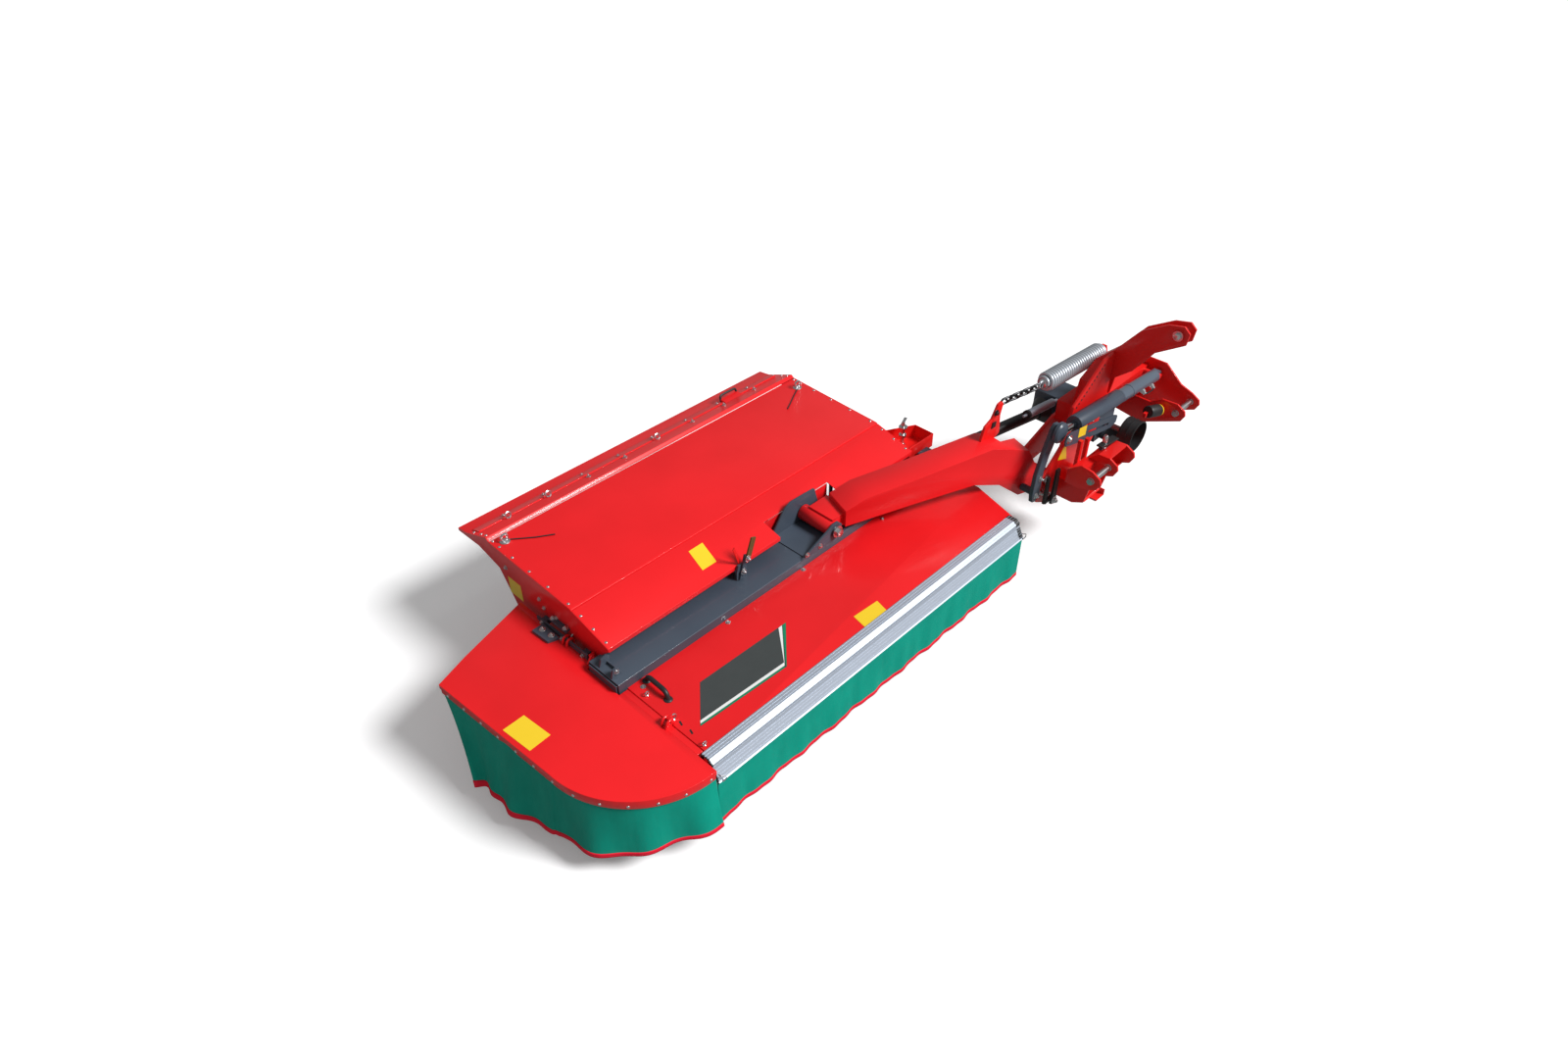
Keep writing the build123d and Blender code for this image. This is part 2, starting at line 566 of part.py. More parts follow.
def spring_chain():
    """Links between the horn and the spring, each turned a quarter against its neighbours."""
    a, b = Vector(*CHAIN_ENDS[0]), Vector(*CHAIN_ENDS[1])
    pitch = (b - a).length / CHAIN_LINKS
    length = pitch + 1.6 * LINK_WIRE
    face = SlotOverall(length, LINK_WIDTH) - SlotOverall(length - 2 * LINK_WIRE, LINK_WIDTH - 2 * LINK_WIRE)
    links = []
    for i in range(CHAIN_LINKS):
        middle = a + (b - a) * ((i + 0.5) / CHAIN_LINKS)
        side = (0, 1, 0) if i % 2 else (0, -0.3, 1)
        frame = Plane(origin=middle, x_dir=b - a, z_dir=Vector(*side).cross(b - a))
        links.append(frame * extrude(face, amount=LINK_WIRE / 2, both=True))
    return Compound(links)


# Lift cylinder
CYL = Vector(CYL_ANCHOR[0], CYL_Y, CYL_ANCHOR[1])
HUB = Vector(LEVER_HUB[0], CYL_Y, LEVER_HUB[1])
CYL_DIR = (HUB - CYL).normalized()
BARREL_LENGTH = 560
LOCK_START, LOCK_END = 150, 640         # from the rod's eye


def at(distance):
    """A point on the cylinder's axis, that far from its foot."""
    return tuple(CYL + CYL_DIR * distance)


def eye(centre, radius, half, hole):
    ring = pin_y((centre[0], centre[2]), (CYL_Y - half, CYL_Y + half), radius)
    return ring - pin_y((centre[0], centre[2]), (CYL_Y - half - 1, CYL_Y + half + 1), hole)


def cylinder_barrel():
    body = rod(at(24), at(BARREL_LENGTH), 40) - rod(at(70), at(BARREL_LENGTH + 9), 24)
    ring = pin_y(CYL_ANCHOR, (CYL_Y - 20, CYL_Y + 20), 34)
    return body + ring - pin_y(CYL_ANCHOR, (CYL_Y - 60, CYL_Y + 60), 16.06)


def cylinder_rod():
    reach = (HUB - CYL).length
    shank = rod(at(BARREL_LENGTH - 90), at(reach - 20), 22)
    ring = pin_y(LEVER_HUB, (CYL_Y - 20, CYL_Y + 20), 34)
    pin = pin_y(LEVER_HUB, (CYL_Y - 30, CYL_Y + 20), 16)
    return shank + ring + pin


def cylinder_lock():
    """Half sleeve on the rod's end that rides over the barrel."""
    reach = (HUB - CYL).length
    start, end = reach - LOCK_START, reach - LOCK_END
    sleeve = pipe(at(end), at(start), 50, 5)
    above = Plane(origin=at(end - 5), x_dir=(0, 1, 0), z_dir=CYL_DIR) * Pos(0, -30, 0)
    sleeve &= above * Box(120, 60, LOCK_END, align=(Align.CENTER, Align.CENTER, Align.MIN))
    collar = pipe(at(start), at(start + 8), 50, 28)
    return sleeve + collar


# Cross shaft between the two gearboxes
S_IN, S_OUT = Vector(*SHAFT_IN), Vector(*SHAFT_OUT)
SHAFT_DIR = (S_OUT - S_IN).normalized()


def along_shaft(distance):
    return tuple(S_IN + SHAFT_DIR * distance)


def swing_normal():
    """Axis the cross shaft swings about as the arm lifts: square to its lines at rest and lifted."""
    turn = radians(LIFT_MAX)
    dx, dz = SHAFT_OUT[0] - LIFT_PIVOT[0], SHAFT_OUT[2] - LIFT_PIVOT[1]
    lifted = Vector(LIFT_PIVOT[0] + dx * cos(turn) + dz * sin(turn), SHAFT_OUT[1],
                    LIFT_PIVOT[1] - dx * sin(turn) + dz * cos(turn))
    return SHAFT_DIR.cross(lifted - S_IN).normalized()


def shaft_outer():
    normal = swing_normal()
    ball = rod(S_IN - normal * 34, S_IN + normal * 34, 26)
    tube = pipe(along_shaft(20), along_shaft(520), 36, 5)
    cone_face = [(20, 36), (20, 44), (-34, 84), (-34, 78), (10, 32), (10, 30), (20, 30)]
    cone = revolve(outline([(r, z) for z, r in cone_face]).moved(Location()), Axis.Y)
    cone = Plane(origin=SHAFT_IN, z_dir=SHAFT_DIR) * Rot(90, 0, 0) * cone
    return ball + tube + cone


def shaft_inner():
    reach = (S_OUT - S_IN).length
    tube = rod(along_shaft(430), along_shaft(reach - 30), 29)
    return tube + rod(along_shaft(reach - 30), along_shaft(reach + 20), 20)


def deck_gearbox():
    x1 = 1490
    case = block((BEAM_X[1], x1), (262, 400), (445, 585))
    return case + rod((x1, *SHAFT_OUT[1:]), (SHAFT_OUT[0] - 52, *SHAFT_OUT[1:]), 20)


NODES = {
    "main_beam": box_tube(BEAM_X, BEAM_Y, BEAM_Z, BEAM_WALL),
    "front_cover": front_cover(),
    "cover_rail": cover_rail(),
    "inner_skirt": inner_skirt(),
    "outer_cover": outer_cover(),
    "cover_edges": cover_edges(),
    "cover_hinge_eyes": cover_hinge_eyes(),
    "outer_skirt": outer_skirt(),
    "cover_hinge_pins": cover_hinge_pins(),
    "curtain_rail": curtain_rail(),
    "front_skirt": front_skirt(),
    "cutterbar": cutterbar(),
    "skids": skids(),
    "bar_supports": bar_supports(),
    "tine_rotor": tine_rotor(),
    "hood_ends": hood_ends(),
    "hood_front_panel": hood_front_panel(),
    "hood_pocket_wall": hood_pocket_wall(),
    "hood_top_panel": plate_x(strip(TOP_PANEL, SHEET), HOOD_SPAN),
    "hood_lip": plate_x(strip(LIP, SHEET), HOOD_SPAN),
    "drive_channel": drive_channel(),
    "swath_door_outer": swath_door(HOOD_OUTER + 22, 1),
    "swath_door_inner": swath_door(HOOD_INNER - 22, -1),
    "deck_clevis": deck_clevis(),
    "deck_pin": deck_pin(),
    "setting_lever": lever_stand(),
    "deck_gearbox": deck_gearbox(),
    "lift_arm": arm(),
    "spring_horn": spring_horn(),
    "lift_lever": lift_lever(),
    "pivot_plates": pivot_plates(),
    "lift_pin": lift_pin(),
    "main_tube": main_tube(),
    "near_bracket": near_bracket(),
    "far_bracket": far_bracket(),
    "link_pins": Compound([ear_pin(ears, (LINK_Y, LINK_Z), LINK_PIN_R) for ears in (NEAR_EARS, FAR_EARS)]),
    "mast": mast(),
    "mast_pin": ear_pin(MAST_EARS, MAST_PIN, MAST_PIN_R),
    "headstock_gearbox": gearbox(),
    "pto_guard": pto_guard(),
    "pto_shaft": pto_shaft(),
    "parking_stand": parking_stand(),
    "relief_spring": relief_spring(),
    "spring_chain": spring_chain(),
    "cylinder_barrel": cylinder_barrel(),
    "cylinder_rod": cylinder_rod(),
    "cylinder_lock": cylinder_lock(),
    "shaft_outer": shaft_outer(),
    "shaft_inner": shaft_inner(),
}
for i in range(DISC_COUNT):
    NODES[f"disc_{i + 1}"] = disc(i)

os.makedirs("parts", exist_ok=True)
box = Compound([shape for shape in NODES.values()]).bounding_box()
TO_ORIGIN = (-(box.min.X + box.max.X) / 2, -(box.min.Y + box.max.Y) / 2, -box.min.Z)
print("moved by", TO_ORIGIN)
for name, shape in NODES.items():
    export_step(Pos(*TO_ORIGIN) * shape, f"parts/{name}.step")
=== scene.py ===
import json
import math
import bmesh
import bpy
import numpy as np
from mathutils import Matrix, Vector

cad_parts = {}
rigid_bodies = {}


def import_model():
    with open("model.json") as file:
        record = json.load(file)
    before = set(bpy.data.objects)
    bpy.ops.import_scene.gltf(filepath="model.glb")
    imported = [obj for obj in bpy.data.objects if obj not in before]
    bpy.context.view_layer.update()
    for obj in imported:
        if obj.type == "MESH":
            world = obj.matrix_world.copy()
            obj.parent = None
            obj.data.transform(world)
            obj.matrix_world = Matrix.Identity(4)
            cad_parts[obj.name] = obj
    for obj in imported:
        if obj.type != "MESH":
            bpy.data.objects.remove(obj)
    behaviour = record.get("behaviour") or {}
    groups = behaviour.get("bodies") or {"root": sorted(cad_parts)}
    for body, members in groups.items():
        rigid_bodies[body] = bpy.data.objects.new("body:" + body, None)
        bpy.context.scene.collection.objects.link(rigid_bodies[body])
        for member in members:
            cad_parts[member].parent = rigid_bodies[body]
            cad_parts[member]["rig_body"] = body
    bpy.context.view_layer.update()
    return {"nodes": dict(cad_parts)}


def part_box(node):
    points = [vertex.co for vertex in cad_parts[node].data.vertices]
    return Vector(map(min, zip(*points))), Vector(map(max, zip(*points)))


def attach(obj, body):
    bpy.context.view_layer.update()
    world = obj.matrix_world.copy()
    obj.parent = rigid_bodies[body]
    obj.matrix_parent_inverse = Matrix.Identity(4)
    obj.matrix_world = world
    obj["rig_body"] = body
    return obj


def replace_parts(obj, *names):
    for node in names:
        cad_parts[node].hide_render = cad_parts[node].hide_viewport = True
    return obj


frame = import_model()
cad = frame["nodes"]
print("frame loaded:", len(cad), "nodes")

# Everything below is drawn in millimetres from the middle of the deck on the ground.
discSetback = 0.04  # metres from there back to the discs' centres
barLow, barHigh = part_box("cutterbar")
discLow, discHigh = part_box("disc_1")
deckOrigin = np.array([(barLow.x + barHigh.x) / 2, (discLow.y + discHigh.y) / 2 - discSetback, 0.0])
upward, ahead, behind = (0, 0, 1), (0, -1, 0), (0, 1, 0)  # it drives ahead
inward, outward = (1, 0, 0), (-1, 0, 0)  # towards the headstock, and away from it


# Shapes. A form is points, faces, and one finish per face.

def gridFaces(rows, cols, wrapRows=False, wrapCols=False):
    # quads between neighbouring points of a rows x cols grid, row by row
    r = np.arange(rows if wrapRows else rows - 1)[:, None]
    c = np.arange(cols if wrapCols else cols - 1)[None, :]
    nextR, nextC = (r + 1) % rows, (c + 1) % cols
    quads = [r * cols + c, r * cols + nextC, nextR * cols + nextC, nextR * cols + c]
    return np.stack(quads, -1).reshape(-1, 4).tolist()


def surface(points, finish, wrapRows=False, wrapCols=False, caps=False):
    # points is rows x cols x 3; caps closes the first and the last row
    rows, cols = points.shape[:2]
    faces = gridFaces(rows, cols, wrapRows, wrapCols)
    if caps:
        faces += [list(range(cols))[::-1], list(range((rows - 1) * cols, rows * cols))]
    return points.reshape(-1, 3), faces, [finish] * len(faces)


def axes(direction, up=upward):
    # two unit vectors square to each direction, and the direction at unit length; up settles their turn
    along = np.atleast_2d(np.asarray(direction, float))
    along = along / np.linalg.norm(along, axis=1, keepdims=True)
    first = np.cross(along, np.asarray(up, float))
    flat = np.linalg.norm(first, axis=1) < 1e-3
    first[flat] = np.cross(along[flat], (1.0, 0.0, 0.0))
    first /= np.linalg.norm(first, axis=1, keepdims=True)
    return first, np.cross(first, along), along


def turned(profile, finish, sides=24, start=(0, 0, 0), direction=upward, hollow=False):
    # (radius, distance) pairs turned round the line from start along direction; hollow makes it a ring
    profile = np.asarray(profile, float)
    first, second, along = (v[0] for v in axes(direction))
    angle = np.linspace(0, 2 * math.pi, sides, endpoint=False)
    ring = np.cos(angle)[:, None] * first + np.sin(angle)[:, None] * second
    points = np.asarray(start, float) + profile[:, 1, None, None] * along
    points = points + profile[:, 0, None, None] * ring[None]
    return surface(points, finish, wrapRows=hollow, wrapCols=True, caps=not hollow)


def swept(path, radius, finish, sides=12, up=upward, closed=False):
    # a round section of that radius (one number or one per point) carried along the path
    path = np.asarray(path, float)
    run = np.roll(path, -1, 0) - np.roll(path, 1, 0) if closed else np.gradient(path, axis=0)
    first, second, _ = axes(run, up)
    angle = np.linspace(0, 2 * math.pi, sides, endpoint=False)
    radius = np.broadcast_to(np.asarray(radius, float), len(path))[:, None, None]
    ring = np.cos(angle)[None, :, None] * first[:, None] + np.sin(angle)[None, :, None] * second[:, None]
    return surface(path[:, None] + radius * ring, finish, wrapRows=closed, wrapCols=True, caps=not closed)


def eased(corners, radius, steps=6):
    # straight runs with each corner turned along a parabola that starts and ends radius away from it
    corners = np.asarray(corners, float)
    points = [corners[:1]]
    share = np.linspace(0, 1, steps)[:, None]
    for before, corner, after in zip(corners, corners[1:], corners[2:]):
        start = corner + (before - corner) / np.linalg.norm(before - corner) * radius
        end = corner + (after - corner) / np.linalg.norm(after - corner) * radius
        points.append((1 - share) ** 2 * start + 2 * share * (1 - share) * corner + share ** 2 * end)
    return np.concatenate(points + [corners[-1:]])


def extruded(outline, axis, low, high, finish):
    # a flat outline given in the two other directions, drawn out from low to high along axis
    drawn = "xyz".index(axis)
    others = [i for i in range(3) if i != drawn]
    points = np.empty((2, len(outline), 3))
    points[:, :, others] = np.asarray(outline, float)
    points[0, :, drawn], points[1, :, drawn] = low, high
    return surface(points, finish, wrapCols=True, caps=True)


def rectangle(left, low, right, high):
    return [(left, low), (right, low), (right, high), (left, high)]


def alongPath(corners, step):
    # evenly spaced points on the straight runs through the corners, and the distance to each
    corners = np.asarray(corners, float)
    run = np.concatenate([[0.0], np.cumsum(np.linalg.norm(np.diff(corners, axis=0), axis=1))])
    at = np.linspace(0, run[-1], int(run[-1] / step) + 1)
    return np.stack([np.interp(at, run, corners[:, i]) for i in range(corners.shape[1])], -1), at


def archCorners(centre, radius, start, stop, count=24):
    # points round part of a circle, between two angles in degrees
    angle = np.radians(np.linspace(start, stop, count))
    return [(centre[0] + radius * math.cos(a), centre[1] + radius * math.sin(a)) for a in angle]


def joined(*forms):
    # several forms as one
    counts = np.cumsum([0] + [len(form[0]) for form in forms])
    points = np.concatenate([form[0] for form in forms])
    faces = [[v + int(count) for v in face] for form, count in zip(forms, counts) for face in form[1]]
    return points, faces, [finish for form in forms for finish in form[2]]


def repeated(form, places, direction=None):
    # the form, drawn round the origin along +Z, set at each place with its +Z along direction
    matrix = np.eye(3)
    if direction is not None:
        first, second, along = (v[0] for v in axes(direction, (0, 1, 0.01)))
        matrix = np.stack([first, second, along])
    points, faces, finishes = form
    return joined(*[(points @ matrix + np.asarray(place, float), faces, finishes) for place in places])


# Pieces. Points nearer than merge (metres) become one, faces within flat degrees become one,
# and edges sharper than edge degrees are rounded.
meshing = {"merge": 2e-6, "flat": 0.6, "edge": 30}


def addPiece(name, mesh, body, bevel=0.0, sharp=35, thick=0.0):
    # an object round a mesh that is already in place; bevel and thick are in millimetres
    piece = bpy.data.objects.new(name, mesh)
    bpy.context.scene.collection.objects.link(piece)
    mesh.shade_smooth()
    if thick:
        solid = piece.modifiers.new("thickness", "SOLIDIFY")
        solid.thickness = thick / 1000
        solid.offset = 0
    if bevel:
        edge = piece.modifiers.new("edges", "BEVEL")
        edge.width = bevel / 1000
        edge.segments = 2
        edge.limit_method = "ANGLE"
        edge.angle_limit = math.radians(meshing["edge"])
        edge.harden_normals = True
    else:
        mesh.set_sharp_from_angle(angle=math.radians(sharp))
    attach(piece, body)
    return piece


def makePiece(name, form, body, bevel=0.0, sharp=35, thick=0.0, closed=True):
    # a piece from a form; a closed form has its faces turned outwards
    points, faces, finishes = form
    mesh = bpy.data.meshes.new(name)
    mesh.from_pydata((deckOrigin + points / 1000).tolist(), [], faces)
    used = list(dict.fromkeys(finishes))
    for finish in used:
        mesh.materials.append(finish)
    mesh.polygons.foreach_set("material_index", [used.index(f) for f in finishes])
    work = bmesh.new()
    work.from_mesh(mesh)
    bmesh.ops.remove_doubles(work, verts=work.verts, dist=meshing["merge"])
    if closed:
        bmesh.ops.recalc_face_normals(work, faces=work.faces)
    work.to_mesh(mesh)
    work.free()
    return addPiece(name, mesh, body, bevel, sharp, thick)


def softened(node, bevel, finish):
    # a merged copy of a CAD node with rounded edges, which stands for it
    mesh = cad[node].data.copy()
    mesh.materials.clear()
    mesh.materials.append(finish)
    work = bmesh.new()
    work.from_mesh(mesh)
    for face in work.faces:
        face.material_index = 0
    bmesh.ops.remove_doubles(work, verts=work.verts, dist=meshing["merge"])
    flat = math.radians(meshing["flat"])
    bmesh.ops.dissolve_limit(work, angle_limit=flat, verts=work.verts, edges=work.edges)
    work.to_mesh(mesh)
    work.free()
    piece = addPiece("finished_" + node, mesh, cad[node]["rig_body"], bevel)
    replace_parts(piece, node)


# Finishes.

class Wire:
    # one output in a node tree: + - * on it add Math nodes
    def __init__(self, owner, socket):
        self.owner, self.socket = owner, socket

    def maths(self, operation, first, second):
        return self.owner.node("ShaderNodeMath", {"operation": operation}, {0: first, 1: second})

    def __add__(self, other):
        return self.maths("ADD", self, other)

    def __radd__(self, other):
        return self.maths("ADD", other, self)

    def __sub__(self, other):
        return self.maths("SUBTRACT", self, other)

    def __rsub__(self, other):
        return self.maths("SUBTRACT", other, self)

    def __mul__(self, other):
        return self.maths("MULTIPLY", self, other)

    def __rmul__(self, other):
        return self.maths("MULTIPLY", other, self)


class NodeTree:
    # the nodes of a finish or of the sky
    def __init__(self, tree):
        self.tree = tree

    def node(self, kind, settings, inputs, out=0):
        # a new node: its settings first, then the values or links of its inputs; gives the output named out
        made = self.tree.nodes.new(kind)
        for key, value in settings.items():
            setattr(made, key, value)
        for key, value in inputs.items():
            self.feed(made.inputs[key], value)
        return Wire(self, made.outputs[out])

    def feed(self, socket, value):
        if isinstance(value, Wire):
            self.tree.links.new(value.socket, socket)
        else:
            socket.default_value = value


class Finish(NodeTree):
    def __init__(self, name, **plain):
        self.material = bpy.data.materials.new(name)
        self.material.use_nodes = True
        super().__init__(self.material.node_tree)
        self.shader = self.tree.nodes["Principled BSDF"]
        self.spot = self.node("ShaderNodeTexCoord", {}, {}, "Object")
        for socket, value in plain.items():
            self.put(socket.replace("_", " "), value)

    def put(self, socket, value):
        self.feed(self.shader.inputs[socket], value)

    def noise(self, scale, detail=2.0, roughness=0.5, stretch=None):
        spot = self.spot
        if stretch:
            spot = self.node("ShaderNodeMapping", {}, {"Vector": spot, "Scale": stretch})
        inputs = {"Vector": spot, "Scale": scale, "Detail": detail, "Roughness": roughness}
        return self.node("ShaderNodeTexNoise", {}, inputs)

    def blend(self, factor, first, second):
        # a colour between two (r, g, b); 6 and 7 are the Mix node's colour inputs, 2 its colour output
        inputs = {0: factor, 6: (*first, 1), 7: (*second, 1)}
        return self.node("ShaderNodeMix", {"data_type": "RGBA"}, inputs, 2)

    def ramp(self, factor, low, high):
        # 0 below low, 1 above high
        return self.node("ShaderNodeMapRange", {}, {"Value": factor, "From Min": low, "From Max": high})

    def bump(self, height, strength, distance):
        inputs = {"Height": height, "Strength": strength, "Distance": distance}
        self.put("Normal", self.node("ShaderNodeBump", {}, inputs))


# In the dictionaries of the finishes, scales are in waves per metre and depths in metres.
enamel = {"cloud": 2.6, "shaded": (0.35, 0.75), "peel": 420, "patchy": 0.12, "depth": 0.0004}


def paint(name, colour, shade, roughness, coat, peel=0.12):
    # sprayed enamel: clouded colour, faint orange peel, a clear top coat
    finish = Finish(name, Coat_Weight=coat, Coat_Roughness=0.06, Specular_IOR_Level=0.3)
    cloud, fine = finish.noise(enamel["cloud"], 3), finish.noise(enamel["peel"], 2)
    finish.put("Base Color", finish.blend(finish.ramp(cloud, *enamel["shaded"]), colour, shade))
    finish.put("Roughness", roughness + (cloud - 0.5) * enamel["patchy"])
    finish.bump(fine, peel, enamel["depth"])
    return finish.material


plating = {"cells": 260.0, "streaks": 90, "streaked": 0.8, "dark": 0.72,
           "patchy": 0.14, "strength": 0.1, "depth": 0.0004}


def plated(name, colour, roughness, spangle=0.0, metal=1.0):
    # zinc or steel: fine cells and scratches in the gloss
    finish = Finish(name, Metallic=metal)
    cells = finish.node("ShaderNodeTexVoronoi", {}, {"Vector": finish.spot, "Scale": plating["cells"]})
    streak = finish.noise(plating["streaks"], 4, 0.6)
    dark = tuple(c * plating["dark"] for c in colour)
    finish.put("Base Color", finish.blend(streak * plating["streaked"], colour, dark))
    finish.put("Roughness", roughness + cells * spangle + (streak - 0.5) * plating["patchy"])
    finish.bump(streak, plating["strength"], plating["depth"])
    return finish.material


drawing = {"lines": (0.8, 900, 900), "cloud": 4, "streaked": 0.5, "dark": 0.86,
           "lined": 0.1, "patchy": 0.06, "strength": 0.06, "depth": 0.0002}


def extrudedMetal(name, colour, metal, roughness):
    # anodised profile with drawing lines along its length
    finish = Finish(name, Metallic=metal)
    lines = finish.noise(1.0, 3, 0.6, drawing["lines"])
    cloud = finish.noise(drawing["cloud"], 3)
    dark = tuple(c * drawing["dark"] for c in colour)
    finish.put("Base Color", finish.blend(lines * drawing["streaked"], colour, dark))
    finish.put("Roughness", roughness + lines * drawing["lined"] + cloud * drawing["patchy"])
    finish.bump(lines, drawing["strength"], drawing["depth"])
    return finish.material


# in weaving, shaded is the range of the crease noise over which the painted crease shade comes in
weaving = {"threads": 320.0, "wander": 0.4, "thread": 0.06, "creases": 9, "stretch": (1, 1, 0.45),
           "crease": 1.4, "shaded": (0.38, 0.7), "strength": 0.55, "depth": 0.004,
           "roughness": 0.5, "patchy": 0.15}


def coatedCloth(name, colour, shade):
    # woven sheet with a plastic coat: fine weave and soft creases, with shade painted into the creases by
    # blending towards the colour shade
    finish = Finish(name, Specular_IOR_Level=0.16)
    threads = {"Vector": finish.spot, "Scale": weaving["threads"],
               "Distortion": weaving["wander"], "Detail": 1.0}
    down, across = (finish.node("ShaderNodeTexWave", {"wave_type": "BANDS", "bands_direction": way}, threads)
                    for way in "ZX")
    creases = finish.noise(weaving["creases"], 4, 0.55, weaving["stretch"])
    # painted shade: the colour darkens towards shade where the crease noise is high
    finish.put("Base Color", finish.blend(finish.ramp(creases, *weaving["shaded"]), colour, shade))
    finish.put("Roughness", weaving["roughness"] + creases * weaving["patchy"])
    height = down * weaving["thread"] + across * weaving["thread"] + creases * weaving["crease"]
    finish.bump(height, weaving["strength"], weaving["depth"])
    return finish.material


moulding = {"cloud": 12, "dust": 0.004, "patchy": 0.2, "grainy": 0.25, "depth": 0.0006}


def moulded(name, colour, roughness, grain=160.0, worn=1.6):
    # moulded plastic, rubber or film: lighter by the factor worn in clouds, with a leathery grain
    finish = Finish(name)
    skin, cloud = finish.noise(grain, 3, 0.6), finish.noise(moulding["cloud"], 2)
    lighter = tuple(min(1.0, c * worn + moulding["dust"]) for c in colour)
    finish.put("Base Color", finish.blend(cloud, colour, lighter))
    finish.put("Roughness", roughness + (skin - 0.5) * moulding["patchy"])
    finish.bump(skin, moulding["grainy"], moulding["depth"])
    return finish.material


redPaint = paint("red_enamel", (0.82, 0.012, 0.016), (0.75, 0.010, 0.013), 0.36, 0.18)
frameRed = paint("frame_red_enamel", (0.82, 0.013, 0.011), (0.73, 0.010, 0.009), 0.38, 0.18, 0.2)
slatePaint = paint("slate_enamel", (0.060, 0.078, 0.105), (0.045, 0.060, 0.085), 0.42, 0.15, 0.2)
barrelGrey = paint("barrel_enamel", (0.105, 0.135, 0.175), (0.085, 0.112, 0.15), 0.2, 0.6, 0.1)
zinc = plated("zinc_plate", (0.70, 0.71, 0.72), 0.24, 0.12)
springZinc = plated("spring_zinc", (0.58, 0.62, 0.67), 0.34, 0.08, 0.55)
steel = plated("bare_steel", (0.42, 0.42, 0.43), 0.36, 0.08)
steelDark = plated("oiled_steel", (0.10, 0.10, 0.105), 0.34, 0.05)
chromed = plated("chromed_rod", (0.75, 0.76, 0.78), 0.1)
railMetal = extrudedMetal("anodised_rail", (0.47, 0.52, 0.60), 0.45, 0.38)
# the second colour of each cloth is its painted shade in the creases
curtainGreen = coatedCloth("green_curtain", (0.0, 0.34, 0.245), (0.0, 0.29, 0.21))
hemRed = coatedCloth("red_hem", (0.92, 0.014, 0.045), (0.84, 0.010, 0.035))
blackPlastic = moulded("black_plastic", (0.012, 0.012, 0.013), 0.45)
blackRubber = moulded("black_rubber", (0.010, 0.010, 0.011), 0.6, 300.0)
yellowFilm = moulded("yellow_film", (0.88, 0.60, 0.02), 0.32, 60.0, 1.05)
whiteFilm = moulded("white_film", (0.80, 0.80, 0.79), 0.35, 60.0, 1.04)
greyFilm = moulded("grey_film", (0.045, 0.052, 0.052), 0.35, 60.0, 1.15)
oliveGrip = moulded("olive_grip", (0.085, 0.055, 0.012), 0.5)
greenFilm = moulded("green_film", (0.0, 0.22, 0.10), 0.35, 60.0, 1.1)
print("finishes made")


# Sheet metal and frame, straight from the CAD with rounded edges.

easedNodes = [
    # node, edge radius, finish
    ("front_cover", 1.6, redPaint),
    ("outer_cover", 1.6, redPaint),
    ("cover_hinge_eyes", 1.5, redPaint),
    ("cover_hinge_pins", 1.0, redPaint),
    ("hood_ends", 1.2, redPaint),
    ("hood_front_panel", 1.4, redPaint),
    ("hood_top_panel", 1.4, redPaint),
    ("hood_lip", 1.4, redPaint),
    ("bar_supports", 2.0, frameRed),
    ("drive_channel", 2.0, frameRed),
    ("swath_door_outer", 1.2, redPaint),
    ("swath_door_inner", 1.2, redPaint),
    ("main_beam", 7.0, slatePaint),
    ("cutterbar", 4.0, slatePaint),
    ("deck_clevis", 2.0, slatePaint),
    ("deck_gearbox", 10.0, slatePaint),
    ("lift_arm", 5.0, redPaint),
    ("spring_horn", 2.5, frameRed),
    ("lift_lever", 4.0, slatePaint),
    ("pivot_plates", 3.0, frameRed),
    ("main_tube", 6.0, frameRed),
    ("near_bracket", 3.0, frameRed),
    ("far_bracket", 3.0, frameRed),
    ("mast", 3.0, frameRed),
    ("headstock_gearbox", 14.0, slatePaint),
    ("parking_stand", 3.0, frameRed),
    ("cylinder_lock", 1.5, slatePaint),
    ("cover_edges", 1.0, redPaint),
    ("hood_pocket_wall", 0.5, redPaint),
]
for node, bevel, finish in easedNodes:
    softened(node, bevel, finish)

# turned and machined nodes keep their own mesh
plainNodes = {
    "deck_pin": zinc, "lift_pin": zinc, "link_pins": zinc, "mast_pin": zinc, "skids": steel,
    "cylinder_rod": chromed, "cylinder_barrel": barrelGrey, "tine_rotor": slatePaint,
    "pto_guard": blackPlastic, "shaft_outer": blackPlastic, "shaft_inner": blackPlastic,
    **{f"disc_{i}": steel for i in range(1, 8)},
}
for node, finish in plainNodes.items():
    cad[node].data.materials.clear()
    cad[node].data.materials.append(finish)
print("CAD nodes finished")


# Curtains: green cloth in soft waves under the covers, each with a red hem and a row of stitches.

# out is how far a layer lies outside the cloth, past and below are shares of the cloth's drop
sheeting = {"step": 8.0, "rows": 22, "thick": 2.4}
hemming = {"rows": 4, "out": 0.6, "past": 1.004, "thick": 5.4}
stitching = {"rows": 2, "out": 3.2, "below": (0.012, 0.02), "thick": 1.0}
waves = {"spread": 0.8, "ripple": 0.4, "short": 0.43, "phase": 1.3, "long": 1.7, "flare": 1.5, "slant": 4}


